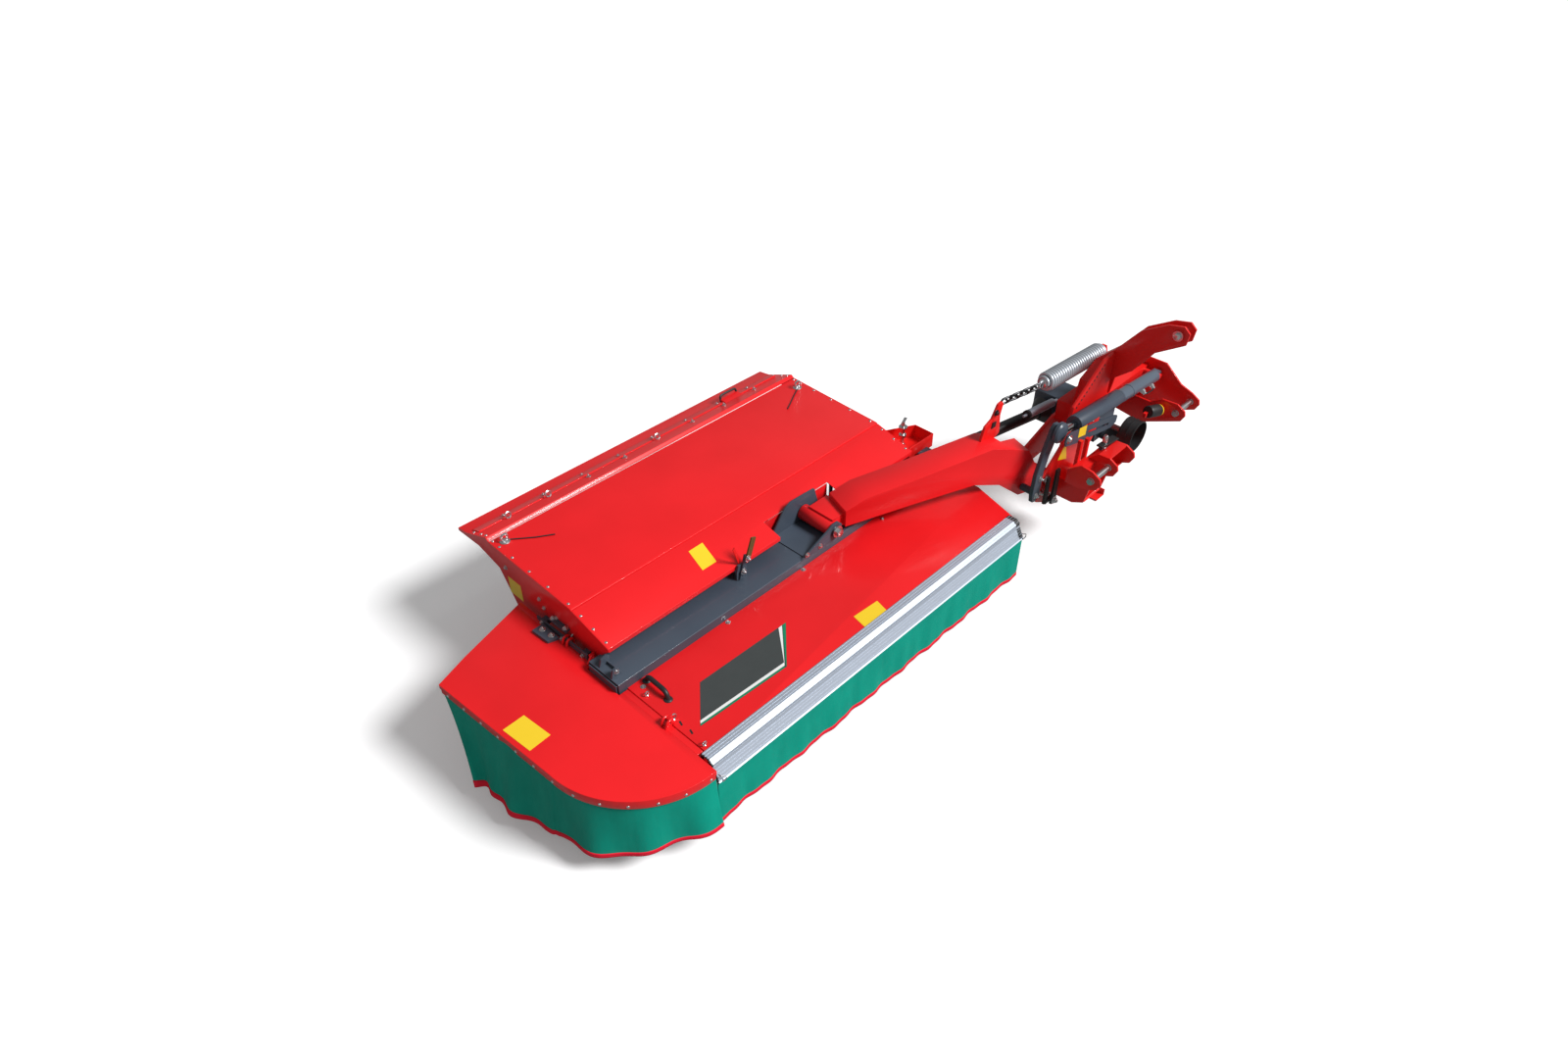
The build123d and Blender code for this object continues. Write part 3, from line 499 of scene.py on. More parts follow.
def hung(curtain, rows, out=0.0, share=(0.0, 1.0)):
    # The cloth at distance u along its top edge, a share v of the way down, stands out from the path by
    # depth * v^spread * (sin(2 pi u / pitch + start) + ripple * sin(2 pi u / (short * pitch) + phase))
    # plus flare(u) * v^1.5 and out. It moves along the path by slant * v * (1 - u / run)^4. Its height is
    # top + (low - top + dip * sin(2 pi u / (long * pitch)) + lift(u)) * v.
    folds, top = curtain["folds"], curtain["top"]
    path, u = alongPath(curtain["path"], sheeting["step"])
    along = np.gradient(path, axis=0)
    along /= np.linalg.norm(along, axis=1, keepdims=True)
    normal = np.stack([along[:, 1], -along[:, 0]], -1)
    v = np.linspace(*share, rows)[:, None]
    pitch = folds["pitch"]
    wave = np.sin(2 * math.pi * u / pitch + folds["start"])
    ripple = np.sin(2 * math.pi * u / (waves["short"] * pitch) + waves["phase"])
    ripple = folds.get("ripple", waves["ripple"]) * ripple
    flare = np.interp(u / u[-1], *np.transpose(folds.get("flare", [(0, 0), (1, 0)])))
    lift = np.interp(u / u[-1], *np.transpose(folds.get("lift", [(0, 0), (1, 0)])))
    offset = out + folds["depth"] * v ** waves["spread"] * (wave + ripple)[None] + flare * v ** waves["flare"]
    shift = folds.get("slant", 0.0) * v * (1 - u / u[-1])[None] ** waves["slant"]
    points = np.empty((rows, len(u), 3))
    moved = np.stack([np.interp(u + shift, u, path[:, i]) for i in (0, 1)], -1)
    points[..., :2] = moved + offset[..., None] * normal[None]
    dip = folds["dip"] * np.sin(2 * math.pi * u / (waves["long"] * pitch))
    points[..., 2] = top + (curtain["low"] - top + dip + lift) * v
    return points


curtains = {
    # path is the edge that it hangs on, seen from above with the outside on the right hand;
    # flare and lift are (share of the path, millimetres) at the hem
    "front_curtain": {
        "body": "curtain", "node": "front_skirt", "path": [(-917, -370), (1377, -370)],
        "top": 404, "low": 130, "hem": 22,
        "folds": {"depth": 5.0, "pitch": 245.0, "start": 0.6, "dip": 1.5},
    },
    "outer_curtain": {
        "body": "side_cover", "node": "outer_skirt",
        "path": [(-1469, 882), (-1420, 110), *archCorners((-935, 110), 481, 180, 270), (-926, -371)],
        "top": 490, "low": 104, "hem": 24,
        "folds": {"depth": 12.0, "pitch": 560.0, "start": 2.6, "dip": 5.0, "slant": 285.0, "ripple": 0.8,
                  "flare": [(0, 92), (0.3, 84), (0.5, 45), (0.75, 12), (0.9, 10), (1, 34)],
                  "lift": [(0, 0), (0.25, 6), (0.5, 26), (0.75, 24), (0.88, 42), (1, 50)]},
    },
    "inner_curtain": {
        "body": "mower", "node": "inner_skirt", "path": [(1378, -300), (1468, 10), (1468, 248)],
        "top": 474, "low": 130, "hem": 30,
        "folds": {"depth": 4.0, "pitch": 210.0, "start": 0.2, "dip": 1.5},
    },
}
for name, curtain in curtains.items():
    body = curtain["body"]
    hemTop = 1 - curtain["hem"] / (curtain["top"] - curtain["low"])
    seamShare = [hemTop + share for share in stitching["below"]]
    cloth = hung(curtain, sheeting["rows"])
    edge = hung(curtain, hemming["rows"], hemming["out"], (hemTop, hemming["past"]))
    seam = hung(curtain, stitching["rows"], stitching["out"], seamShare)
    skirt = makePiece(name, surface(cloth, curtainGreen), body,
                      thick=sheeting["thick"], closed=False)
    hem = makePiece(name + "_hem", surface(edge, hemRed), body,
                    thick=hemming["thick"], closed=False)
    stitch = makePiece(name + "_stitching", surface(seam, hemRed), body,
                       thick=stitching["thick"], closed=False)
    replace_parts(skirt, curtain["node"])
print("curtains hung")


# Aluminium rails: extruded profiles with raised ribs and plastic end caps.

def ribbed(start, end, shares, height, width):
    # points from start to end (Y, Z) with square ribs at shares of the way, standing out on its left
    start, end = np.asarray(start, float), np.asarray(end, float)
    length = np.linalg.norm(end - start)
    way = (end - start) / length
    rise = np.array([-way[1], way[0]]) * height
    points = [start]
    for share in shares:
        near, far = start + way * (share * length - width / 2), start + way * (share * length + width / 2)
        points += [near, near + rise, far + rise, far]
    return points + [end]


rail = {"from": -914, "to": 1377, "gap": 2, "outerCap": 7, "innerCap": 34, "capGrowth": 0.02}
railProfiles = {
    "cover_rail": [
        (-270, 500), (-270, 506), *ribbed((-274, 506), (-314, 506), (0.12, 0.5, 0.88), 2.6, 4.5),
        *ribbed((-318, 506), (-340, 490), (0.5,), 2.2, 5),
        (-340, 478), (-335, 478), (-335, 488), (-314, 500),
    ],
    "curtain_rail": [
        (-330, 476), (-342, 476), (-344, 466),
        *ribbed((-345, 462), (-374, 408), (0.12, 0.36, 0.62, 0.88), -2.4, 5),
        (-380, 404), (-376, 395), (-366, 395), (-362, 404), (-332, 462),
    ],
}
capSpans = [(rail["from"], rail["from"] + rail["outerCap"]), (rail["to"] - rail["innerCap"], rail["to"])]
for name, profile in railProfiles.items():
    body = cad[name]["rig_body"]
    bar = extruded(profile, "x", rail["from"] + rail["gap"], rail["to"] - rail["gap"], railMetal)
    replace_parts(makePiece("ribbed_" + name, bar, body, bevel=0.5), name)
    profile = np.asarray(profile)
    grown = profile + (profile - np.mean(profile, axis=0)) * rail["capGrowth"]
    caps = joined(*[extruded(grown, "x", *span, blackPlastic) for span in capSpans])
    makePiece(name + "_end_caps", caps, body, bevel=1.2)

clip = {"places": (1352, -905), "wire": 3.0,
        "bends": [(0, -368, 446), (0, -384, 450), (20, -392, 442), (24, -390, 420), (10, -382, 404)]}
clips = [swept([(x + shift, y, z) for shift, y, z in clip["bends"]], clip["wire"], zinc, 8)
         for x in clip["places"]]
makePiece("curtain_clips", joined(*clips), "curtain")
print("rails drawn")


# Fasteners, each drawn from the origin along +Z. The dictionary gives radii as shares of the width
# across flats, and the stud's heights as shares of the nut's.
bolt = {"washer": 0.75, "washerThick": 2.4, "top": 0.42, "chamfer": 1.6,
        "stud": 0.27, "studTop": 0.2, "studEdge": 1.7, "studHeight": 1.85}


def hexBolt(across, height, finish=zinc):
    # washer, then a hexagon head with a chamfered top
    washer, base, peak = across * bolt["washer"], bolt["washerThick"], height + bolt["chamfer"]
    disc = turned(rectangle(0, 0, washer, base), finish, 20)
    head = [(0, base), (across / 2, base), (across / 2, height), (across * bolt["top"], peak), (0, peak)]
    return joined(disc, turned(head, finish, 6))


def stud(across, height):
    # hexagon nut with the end of its stud
    radius, tip = across * bolt["stud"], across * bolt["studTop"]
    edge, top = height * bolt["studEdge"], height * bolt["studHeight"]
    end = turned([(0, 2), (radius, 2), (radius, edge), (tip, top), (0, top)], zinc, 12)
    return joined(hexBolt(across, height), end)


def dome(radius, height, finish=zinc):
    # a quarter of an ellipse turned round its axis
    angle = np.linspace(0, math.pi / 2, 6)
    return turned([(0, 0), *zip(radius * np.cos(angle), height * np.sin(angle))], finish, 16)


def loop(radius, wire, rise=0.0):
    # upright ring on a short collar
    angle = np.linspace(0, 2 * math.pi, 24, endpoint=False)
    ring = np.stack([radius * np.cos(angle), 0 * angle, rise + radius + radius * np.sin(angle)], -1)
    collar = turned([(0, 0), (wire * 2.2, 0), (wire * 2.2, 3), (wire, 6), (0, 6)], zinc, 14)
    return joined(swept(ring, wire, zinc, 8, behind, True), collar)


# the hood's three panels run between these (Y, Z) points, and its end plates' outer faces stand at ends
hood = {"front": ((394, 631), (655, 699)), "top": ((676, 705), (1330, 729)),
        "lip": ((1352, 744), (1552, 663)), "ends": (-870, 1340), "rivets": (-852, 1322)}
rotor = {"y": 640, "z": 312, "boltCircle": 92}


def onHood(panel, x, y, clear=0.0):
    # the point of a hood panel above or below (x, y), raised by clear
    (nearY, nearZ), (farY, farZ) = hood[panel]
    return x, y, nearZ + (y - nearY) * (farZ - nearZ) / (farY - nearY) + clear


def rotorCircle(x):
    # six places round the rotor's axle
    angle, radius = np.radians(np.arange(30, 360, 60)), rotor["boltCircle"]
    return [(x, rotor["y"] + radius * math.cos(a), rotor["z"] + radius * math.sin(a)) for a in angle]


(lipNearY, lipNearZ), (lipFarY, lipFarZ) = hood["lip"]
lipNormal = (0, lipNearZ - lipFarZ, lipFarY - lipNearY)
lipStations = np.arange(-672, 1093, 252)  # each carries a ring or two bolts
lipRings, lipBolts = lipStations[[0, 1, 4]], lipStations[[2, 3, 5, 6, 7]]
makePiece("lip_bolts", joined(
    repeated(stud(19, 9), [onHood("lip", x, y) for x in lipBolts for y in (1432, 1494)], lipNormal),
    repeated(stud(19, 9), [onHood("lip", x, 1500) for x in lipRings], lipNormal),
    repeated(loop(16, 4.6), [onHood("lip", x, 1446) for x in lipRings], lipNormal),
), "mower")

lipStrip = {"from": -840, "to": 1310, "outline": [
    (1466, 697.0), (1466, 699.6), (1471, 701.2), (1534, 675.8), (1540, 671.4), (1540, 667.2)]}
strip = extruded(lipStrip["outline"], "x", lipStrip["from"], lipStrip["to"], redPaint)
makePiece("lip_strip", strip, "mower", bevel=0.6)

lipHandle = {"from": 880, "to": 1010, "foot": 684, "top": 724, "bend": 20, "wire": 7}
lipGrip = eased([(lipHandle["from"], 1500, lipHandle["foot"]), (lipHandle["from"], 1512, lipHandle["top"]),
                 (lipHandle["to"], 1512, lipHandle["top"]), (lipHandle["to"], 1500, lipHandle["foot"])],
                lipHandle["bend"])
makePiece("lip_handle", joined(
    swept(lipGrip, lipHandle["wire"], blackPlastic, 10),
    extruded(rectangle(876, 1450, 1014, 1508), "z", 676, 704, redPaint),
), "mower")

topRivets = [onHood("top", x, y) for x in hood["rivets"] for y in (700, 860, 1010, 1150, 1260, 1318)]
frontRivets = [onHood("front", x, y) for x in hood["rivets"] for y in (430, 520, 610)]
makePiece("hood_rivets", repeated(dome(8, 4.5), topRivets + frontRivets), "mower")
lipRivets = [onHood("lip", x, y) for x in hood["rivets"] for y in (1375, 1425, 1500)]
makePiece("lip_rivets", repeated(dome(8, 4.5), lipRivets, lipNormal), "mower")

coverTop = 500
coverBolts = [(x, y, coverTop) for x, y in ((-277, 232), (261, 235), (871, 217), (-835, 205), (1290, 226))]
makePiece("cover_bolts", repeated(hexBolt(17, 8), coverBolts), "mower")

apron = {"path": [(-1475, 886), (-1425, 110), *archCorners((-935, 110), 490, 180, 270), (-928, -380)],
         "rivets": 13, "height": 466, "step": 4.0, "margins": (60, 30)}
apronPath, apronRun = alongPath(apron["path"], apron["step"])
rivets = []
for at in np.linspace(apron["margins"][0], apronRun[-1] - apron["margins"][1], apron["rivets"]):
    i = int(at / apron["step"])
    way = apronPath[i + 1] - apronPath[i - 1]
    rivets.append(repeated(dome(7.5, 4), [(*apronPath[i], apron["height"])], (way[1], -way[0], 0)))
makePiece("apron_rivets", joined(*rivets), "side_cover")

outerEnd, innerEnd = hood["ends"]
outerPlaces = ((1200, 640), (930, 600), (900, 560), (800, 560), (560, 500), (520, 420))
outerBolts = [(outerEnd, y, z) for y, z in outerPlaces] + rotorCircle(outerEnd)
makePiece("end_plate_bolts", repeated(hexBolt(17, 9), outerBolts, outward), "mower")
innerBolts = rotorCircle(innerEnd) + [(innerEnd, y, z) for y, z in ((900, 560), (1200, 640), (800, 420))]
makePiece("inner_end_bolts", repeated(hexBolt(17, 9), innerBolts, inward), "mower")
barBolts = [(x, y, 92) for x in np.arange(-962.5, 963, 385) for y in (-24, 96)]
makePiece("bar_bolts", repeated(hexBolt(19, 10, steel), barBolts), "mower")

plateFace = -210  # Y of the front pivot plate's outer face
boltSets = {
    # body, then each group: the fastener, the way that it faces and its places
    "clevis_nuts": ("mower", [
        (hexBolt(46, 22), ahead, [(519, 233, 605)]),
        (hexBolt(46, 22), behind, [(519, 510, 605)]),
        (hexBolt(19, 10), ahead, [(x, 247, 570) for x in (300, 400, 545)])]),
    "headstock_bolts": ("headstock", [
        (hexBolt(40, 18), ahead, [(1840, plateFace - 4, 475)]),
        (stud(24, 12), ahead, [(x, plateFace, z) for x, z in (
            (1800, 395), (1905, 330), (2250, 690), (2330, 700), (2120, 395))])]),
    "mast_pin_heads": ("headstock", [
        (hexBolt(40, 14), outward, [(2376, -541, 1317)]),
        (hexBolt(40, 14), inward, [(2492, -541, 1317)])]),
    "lever_bolts": ("arm", [
        (stud(24, 12), ahead, [(1712, -240, 560), (1690, -240, 452)])]),
}
for name, (body, groups) in boltSets.items():
    makePiece(name, joined(*[repeated(form, places, way) for form, way, places in groups]), body)
print("fasteners set")


# Blank labels.

stripe = {"thick": 0.6, "lift": 1.1}  # narrow films that lie on the grey one


def label(corners, finish, thick=0.8, lift=0.3):
    # a flat four-cornered film, its corners given anticlockwise from outside
    corners = np.asarray(corners, float)
    normal = np.cross(corners[1] - corners[0], corners[3] - corners[0])
    normal /= np.linalg.norm(normal)
    layers = np.stack([corners + normal * lift, corners + normal * (lift + thick)])
    return surface(layers, finish, wrapCols=True, caps=True)


def onCover(corners):
    return [(x, y, coverTop) for x, y in corners]


makePiece("cover_labels", joined(
    label(onCover([(179, -180), (156, -293), (314, -310), (345, -190)]), yellowFilm),
    label(onCover([(-636, 40), (-809, -153), (-289, -177), (-81, 30)]), greyFilm),
    label(onCover([(-788, -129), (-799, -142), (-292, -165), (-280, -150)]), whiteFilm, **stripe),
    label(onCover([(-800, -143), (-807, -151), (-300, -175), (-294, -167)]), greenFilm, **stripe),
    label(onCover([(-134, 29), (-280, -150), (-292, -165), (-110, 29)]), whiteFilm, **stripe),
    label(onCover([(-106, 29), (-288, -168), (-292, -177), (-84, 29)]), greenFilm, **stripe),
), "mower")
sideLabel = label(onCover([(-1423, 451), (-1408, 271), (-1294, 279), (-1310, 455)]), yellowFilm)
makePiece("side_cover_label", sideLabel, "side_cover")
frontCorners = [onHood("front", x, y) for x, y in ((-192, 599), (-215, 472), (-122, 472), (-98, 600))]
endCorners = [(outerEnd, y, z) for y, z in ((1200, 478), (1092, 478), (1092, 584), (1200, 584))]
makePiece("hood_labels", joined(label(frontCorners, yellowFilm), label(endCorners, yellowFilm)), "mower")
print("labels laid")


# Handles, latches and brackets on the deck.

handle = {"feet": [(-797, 224), (-805, 66)], "tops": [(-799, 214), (-803, 76)],
          "rise": 40, "wire": 12, "bend": 30}
feet = onCover(handle["feet"])
tops = [(x, y, coverTop + handle["rise"]) for x, y in handle["tops"]]
makePiece("cover_handle", joined(
    swept(eased([feet[0], *tops, feet[1]], handle["bend"]), handle["wire"], blackPlastic, 12),
    repeated(dome(22, 9, blackPlastic), feet),
), "mower")

latch = {"places": (-56, 662), "width": 30, "rise": 34, "wire": 6.5, "bend": 12}
latchTop = coverTop + latch["rise"]
hooks = []
for y in [place + side for place in latch["places"] for side in (0, latch["width"])]:
    corners = [(-924, y, coverTop), (-914, y, latchTop), (-886, y, latchTop), (-880, y, 502)]
    hooks.append(swept(eased(corners, latch["bend"]), latch["wire"], redPaint, 10))
makePiece("cover_latches", joined(*hooks), "side_cover")
makePiece("cover_eyes", joined(
    *[repeated(loop(15, 3.6, 5), [(-866, y + latch["width"] / 2, coverTop)]) for y in latch["places"]],
    repeated(loop(12, 3), [(-868, -244, coverTop), (-856, 152, coverTop)]),
), "mower")

# painted shade: thin black films lie where the cover's slots open, standing for the dark inside of the slots
coverSlot = {"places": ((-858, -77), (-858, -146)), "corners": ((0, 13), (-8, -13), (1, -15), (9, 11))}
slotShadeFilms = [label(onCover([(x + dx, y + dy) for dx, dy in coverSlot["corners"]]), blackPlastic, 0.4, 0.1)
         for x, y in coverSlot["places"]]
makePiece("cover_slot_painted_shade", joined(*slotShadeFilms), "mower")

makePiece("beam_end_plate", joined(
    extruded(rectangle(262, 440, 460, 540), "x", -943, -935, slatePaint),
    extruded([(-934, 538), (-880, 538), (-884, 590), (-902, 604), (-920, 596)], "y", 302, 312, slatePaint),
    extruded([(-930, 538), (-872, 538), (-862, 584), (-880, 602), (-912, 590)], "y", 398, 408, slatePaint),
    extruded([(302, 538), (408, 538), (408, 566), (302, 570)], "x", -884, -877, slatePaint),
    repeated(hexBolt(19, 9), [(-901, 302, 578)], ahead),
), "mower", bevel=1.2)

track = {"outer": -908, "inner": -900, "low": 470, "high": 535, "slope": 12, "from": 520, "to": 920,
         "spacers": (540, 860), "spacerWidth": 36}
trackOutline = [(track["from"], track["low"]), (track["to"], track["low"] + track["slope"]),
                (track["to"], track["high"] - track["slope"]), (track["from"], track["high"])]
spacers = [extruded(rectangle(y, 490, y + track["spacerWidth"], 516), "x",
                    track["inner"], outerEnd, slatePaint) for y in track["spacers"]]
makePiece("door_bracket", joined(
    extruded(trackOutline, "x", track["outer"], track["inner"], slatePaint),
    *spacers,
    repeated(hexBolt(19, 10), [(track["outer"], y, 503) for y in (558, 720, 878)], outward),
    extruded([(-898, 829), (-898, 690), (-870, 694), (-870, 829)], "z", 550, 560, slatePaint),
    repeated(stud(20, 8), [(-884, 812, 560), (-884, 712, 560)]),
), "mower", bevel=1.5)
makePiece("cover_latch_plate", joined(
    extruded([(-980, 858), (-973, 743), (-918, 726), (-912, 860)], "z", coverTop, 516, slatePaint),
    repeated(stud(22, 9), [(-942, 826, 516), (-936, 762, 516)]),
), "side_cover", bevel=1.5)

panelEyes = [onHood("top", -808, 1276), onHood("top", 1272, 1240)]
makePiece("panel_eyes", joined(
    repeated(turned([(0, 0), (27, 0), (27, 3), (14, 12), (0, 12)], zinc), panelEyes),
    repeated(loop(19, 6, 8), panelEyes),
), "mower")
strap = {"wire": 3.4, "lines": (((-782, 1268), (-740, 1236), (-680, 1192), (-599, 1145)),
                                ((1250, 1222), (1190, 1190), (1120, 1150), (1060, 1118)))}
straps = [swept([onHood("top", x, y, strap["wire"]) for x, y in line], strap["wire"], blackRubber, 8)
          for line in strap["lines"]]
makePiece("panel_straps", joined(*straps), "mower")

leverPlates = [
    # outline (X, Z), the two Y that it lies between, finish
    ([(-75, 552), (-5, 552), (-5, 610), (-22, 640), (-62, 640), (-75, 600)], 376, 388, slatePaint),
    ([(-66, 560), (-34, 560), (-10, 690), (-26, 698)], 364, 376, slatePaint),
    ([(-30, 672), (2, 664), (44, 778), (14, 790)], 355, 364, oliveGrip),
    ([(-50, 640), (-36, 636), (-72, 760), (-84, 748)], 388, 394, frameRed),
]
leverPiece = makePiece("setting_lever_plates", joined(
    *[extruded(outline, "y", near, far, finish) for outline, near, far, finish in leverPlates],
    repeated(stud(24, 10), [(-40, 364, 600), (-16, 355, 676)], ahead),
), "mower", bevel=1.2)
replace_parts(leverPiece, "setting_lever")

screw = [(0, 0), (20, 0), (20, 8), (11, 8), (11, 60), (22, 60), (22, 74), (11, 74), (11, 120),
         (26, 120), (26, 128), (9, 132), (9, 160), (0, 160)]
makePiece("drive_adjuster", joined(
    turned(screw, zinc, 20, (1440, 545, 555)),
    extruded([(1428, 536), (1500, 566), (1494, 582), (1424, 552)], "z", 700, 706, zinc),
), "mower")
print("deck fittings made")


# Relief spring and chain.

spring = {"outer": (1935, -35, 1003), "inner": (2560, -35, 960), "turns": 27, "coil": 47.0, "wire": 10.2,
          "ends": 1.2, "drawnIn": 0.4, "plugGap": 6,
          "outerHook": {"gap": 26, "radius": 19, "wire": 7.5},
          "innerHook": {"gap": 20, "radius": 13, "wire": 6.5}}


def coiled(start, end, turns, radius, wire, finish):
    # a helix round the line between two points: its angle grows evenly with the distance, and at each
    # end its radius shrinks evenly, over the number of turns that ends gives, by the share drawnIn
    start, end = np.asarray(start, float), np.asarray(end, float)
    first, second, along = (v[0] for v in axes(end - start))
    t = np.linspace(0, 1, turns * 26)
    turn = 2 * math.pi * turns * t
    outerEase = np.clip(1 - t * turns / spring["ends"], 0, 1)
    innerEase = np.clip(1 - (1 - t) * turns / spring["ends"], 0, 1)
    taper = 1 - spring["drawnIn"] * outerEase - spring["drawnIn"] * innerEase
    centre = start + (end - start) * t[:, None]
    ring = np.cos(turn)[:, None] * first + np.sin(turn)[:, None] * second
    return swept(centre + (radius * taper)[:, None] * ring, wire, finish, 8, along)


def hook(end, way, size, finish):
    # an open ring of 290 degrees whose centre lies size["gap"] before end, with a straight shank along way
    first, second, along = (v[0] for v in axes(way))
    angle = np.radians(np.linspace(-60, 230, 22))
    ring = np.cos(angle)[:, None] * along + np.sin(angle)[:, None] * second
    ring = end - way * size["gap"] + size["radius"] * ring
    shank = ring[-1] + along * np.linspace(0, 30, 4)[1:, None]
    return swept(np.concatenate([ring, shank]), size["wire"], finish, 10, first)


outerTip, innerTip = np.asarray(spring["outer"]), np.asarray(spring["inner"])
springWay = (innerTip - outerTip) / np.linalg.norm(innerTip - outerTip)
plug = [(0, 0), (22, 0), (34, 14), (34, 40), (0, 40)]
coil = joined(
    coiled(outerTip, innerTip, spring["turns"], spring["coil"], spring["wire"], springZinc),
    turned(plug, zinc, 24, outerTip - springWay * spring["plugGap"], springWay),
    turned(plug, zinc, 24, innerTip + springWay * spring["plugGap"], -springWay),
    hook(outerTip, springWay, spring["outerHook"], springZinc),
    hook(innerTip, -springWay, spring["innerHook"], springZinc),
)
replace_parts(makePiece("spring_coil", coil, "headstock", sharp=60), "relief_spring")

chain = {"from": (1657, 40, 975), "to": (1893, -35, 1004), "links": 7, "wire": 6.2, "width": 16.5}


def chainLinks(finish):
    # ovals laid end to end, each turned a quarter against the one before: at angle a an oval's wire is
    # width * cos(a) + straight * sign(cos(a)) along the chain and width * sin(a) to its side
    start, end = np.asarray(chain["from"], float), np.asarray(chain["to"], float)
    first, second, along = (v[0] for v in axes(end - start))
    pitch = np.linalg.norm(end - start) / chain["links"]
    straight = pitch / 2 + 2 * chain["wire"] - chain["width"]
    angle = np.radians(np.linspace(0, 360, 28, endpoint=False))
    links = []
    for i in range(chain["links"]):
        middle = start + along * pitch * (i + 0.5)
        side = first if i % 2 else second
        reach = chain["width"] * np.cos(angle) + straight * np.sign(np.cos(angle))
        oval = middle + reach[:, None] * along + chain["width"] * np.sin(angle)[:, None] * side
        links.append(swept(oval, chain["wire"], finish, 8, np.cross(along, side), True))
    return joined(*links)


chainPiece = makePiece("horn_chain", chainLinks(steelDark), "headstock", sharp=60)
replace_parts(chainPiece, "spring_chain")
print("spring and chain made")


# Fittings of the lift cylinder: distances are along it from its foot.

cylinder = {"foot": (2900, -265, 745), "hub": (1795, -265, 845), "gland": 530, "clamp": 330,
            "ports": (110, 220), "portWay": (0, -0.8, -0.6)}
cylFoot = np.asarray(cylinder["foot"], float)
cylWay = np.asarray(cylinder["hub"], float) - cylFoot
cylWay /= np.linalg.norm(cylWay)


def besideBarrel(at, y, z):
    # the point at that distance along the barrel, moved by (y, z)
    return cylFoot + cylWay * at + np.array((0, y, z))


portProfile = [(0, 0), (15, 0), (15, 18), (11, 18), (11, 32), (0, 32)]
ports = [turned(portProfile, zinc, 6, besideBarrel(at, -28, -21), cylinder["portWay"])
         for at in cylinder["ports"]]
nearPort, farPort = cylinder["ports"]
pipeRoute = eased([besideBarrel(farPort, -50, -38), besideBarrel(farPort - 20, -58, -40),
                   besideBarrel(nearPort + 20, -58, -40), besideBarrel(nearPort, -50, -38)], 9)
glandProfile = [(25, 0), (43, 0), (43, 26), (40, 32), (25, 32)]
clampProfile = [(38, 0), (42, 0), (43, 3), (43, 17), (42, 20), (38, 20)]
makePiece("cylinder_fittings", joined(
    turned(glandProfile, slatePaint, 32, cylFoot + cylWay * cylinder["gland"], cylWay, hollow=True),
    turned(clampProfile, barrelGrey, 36, cylFoot + cylWay * cylinder["clamp"], cylWay, hollow=True),
    *ports,
    swept(pipeRoute, 5, steelDark, 8),
), "barrel")

hubDome = [(0, 0), (62, 0), (62, 18), (54, 29), (36, 37), (14, 40), (0, 40)]
hubBolt = [(0, 0), (27, 0), (27, 3), (15, 3), (15, 10), (10, 15), (0, 16)]
makePiece("lever_hub", joined(
    turned(hubDome, slatePaint, 40, (1772, -262, 858), ahead),
    turned(hubBolt, zinc, 24, (1782, -331, 836), ahead),
), "rod", bevel=1.2)


# Slotted plate, stops, labels and small parts of the headstock.

def slotted(outline, hole, low, high, finish):
    # an upright plate with a hole, from low to high along Y: both outlines resampled to one count,
    # started at their least X so that the faces don't twist, and joined into rings
    ring = alongPath([*outline, outline[0]], 12.0)[0][:-1]
    inner = alongPath([*hole, hole[0]], 4.0)[0][:-1]
    inner = inner[np.linspace(0, len(inner), len(ring), endpoint=False).astype(int)]
    ring = np.roll(ring, -int(np.argmin(ring[:, 0])), 0)
    inner = np.roll(inner, -int(np.argmin(inner[:, 0])), 0)
    points = np.empty((4, len(ring), 3))
    for row, (edge, level) in enumerate(((ring, low), (ring, high), (inner, high), (inner, low))):
        points[row][:, [0, 2]] = edge
        points[row][:, 1] = level
    return surface(points, finish, wrapRows=True, wrapCols=True)


link = {
    "front": -331, "back": -322, "strutBack": -352, "strutFoot": 600, "strutWidth": 24,
    "struts": ((1893, 775), (1973, 752)), "slot": [(1990, 772), (2230, 718), (2238, 734), (1996, 792)],
    "outline": [(1756, 800), (1890, 762), (2270, 682), (2330, 696), (2336, 738), (2290, 758),
                (1800, 871), (1762, 868), (1744, 838)],
}
struts = [extruded(rectangle(x, link["strutFoot"], x + link["strutWidth"], top), "y",
                   link["strutBack"], link["front"], frameRed) for x, top in link["struts"]]
makePiece("slotted_link", joined(
    slotted(link["outline"], link["slot"], link["front"], link["back"], slatePaint), *struts,
), "headstock", bevel=1.5)
linkCorners = [(x, link["front"] - 0.2, z) for x, z in ((1880, 800), (1962, 782), (1962, 846), (1880, 862))]
makePiece("link_label", label(linkCorners, yellowFilm), "headstock")
plateCorners = [(x, plateFace, z) for x, z in ((1935, 560), (2040, 520), (2005, 636), (1990, 640))]
makePiece("plate_label", label(plateCorners, yellowFilm), "headstock")

stopBars = [
    # outline (X, Z) and the two Y that it lies between
    ([(1846, 318), (1894, 318), (1884, 556), (1852, 556)], -268, -252),
    ([(1800, 330), (1832, 330), (1828, 512), (1806, 512)], -246, -230),
    (rectangle(1806, 330, 1892, 350), -252, -230),
]
makePiece("stop_bars", joined(
    *[extruded(outline, "y", near, far, blackPlastic) for outline, near, far in stopBars],
    repeated(stud(34, 13), [(1870, -268, 338)], ahead),
), "headstock", bevel=1.5)

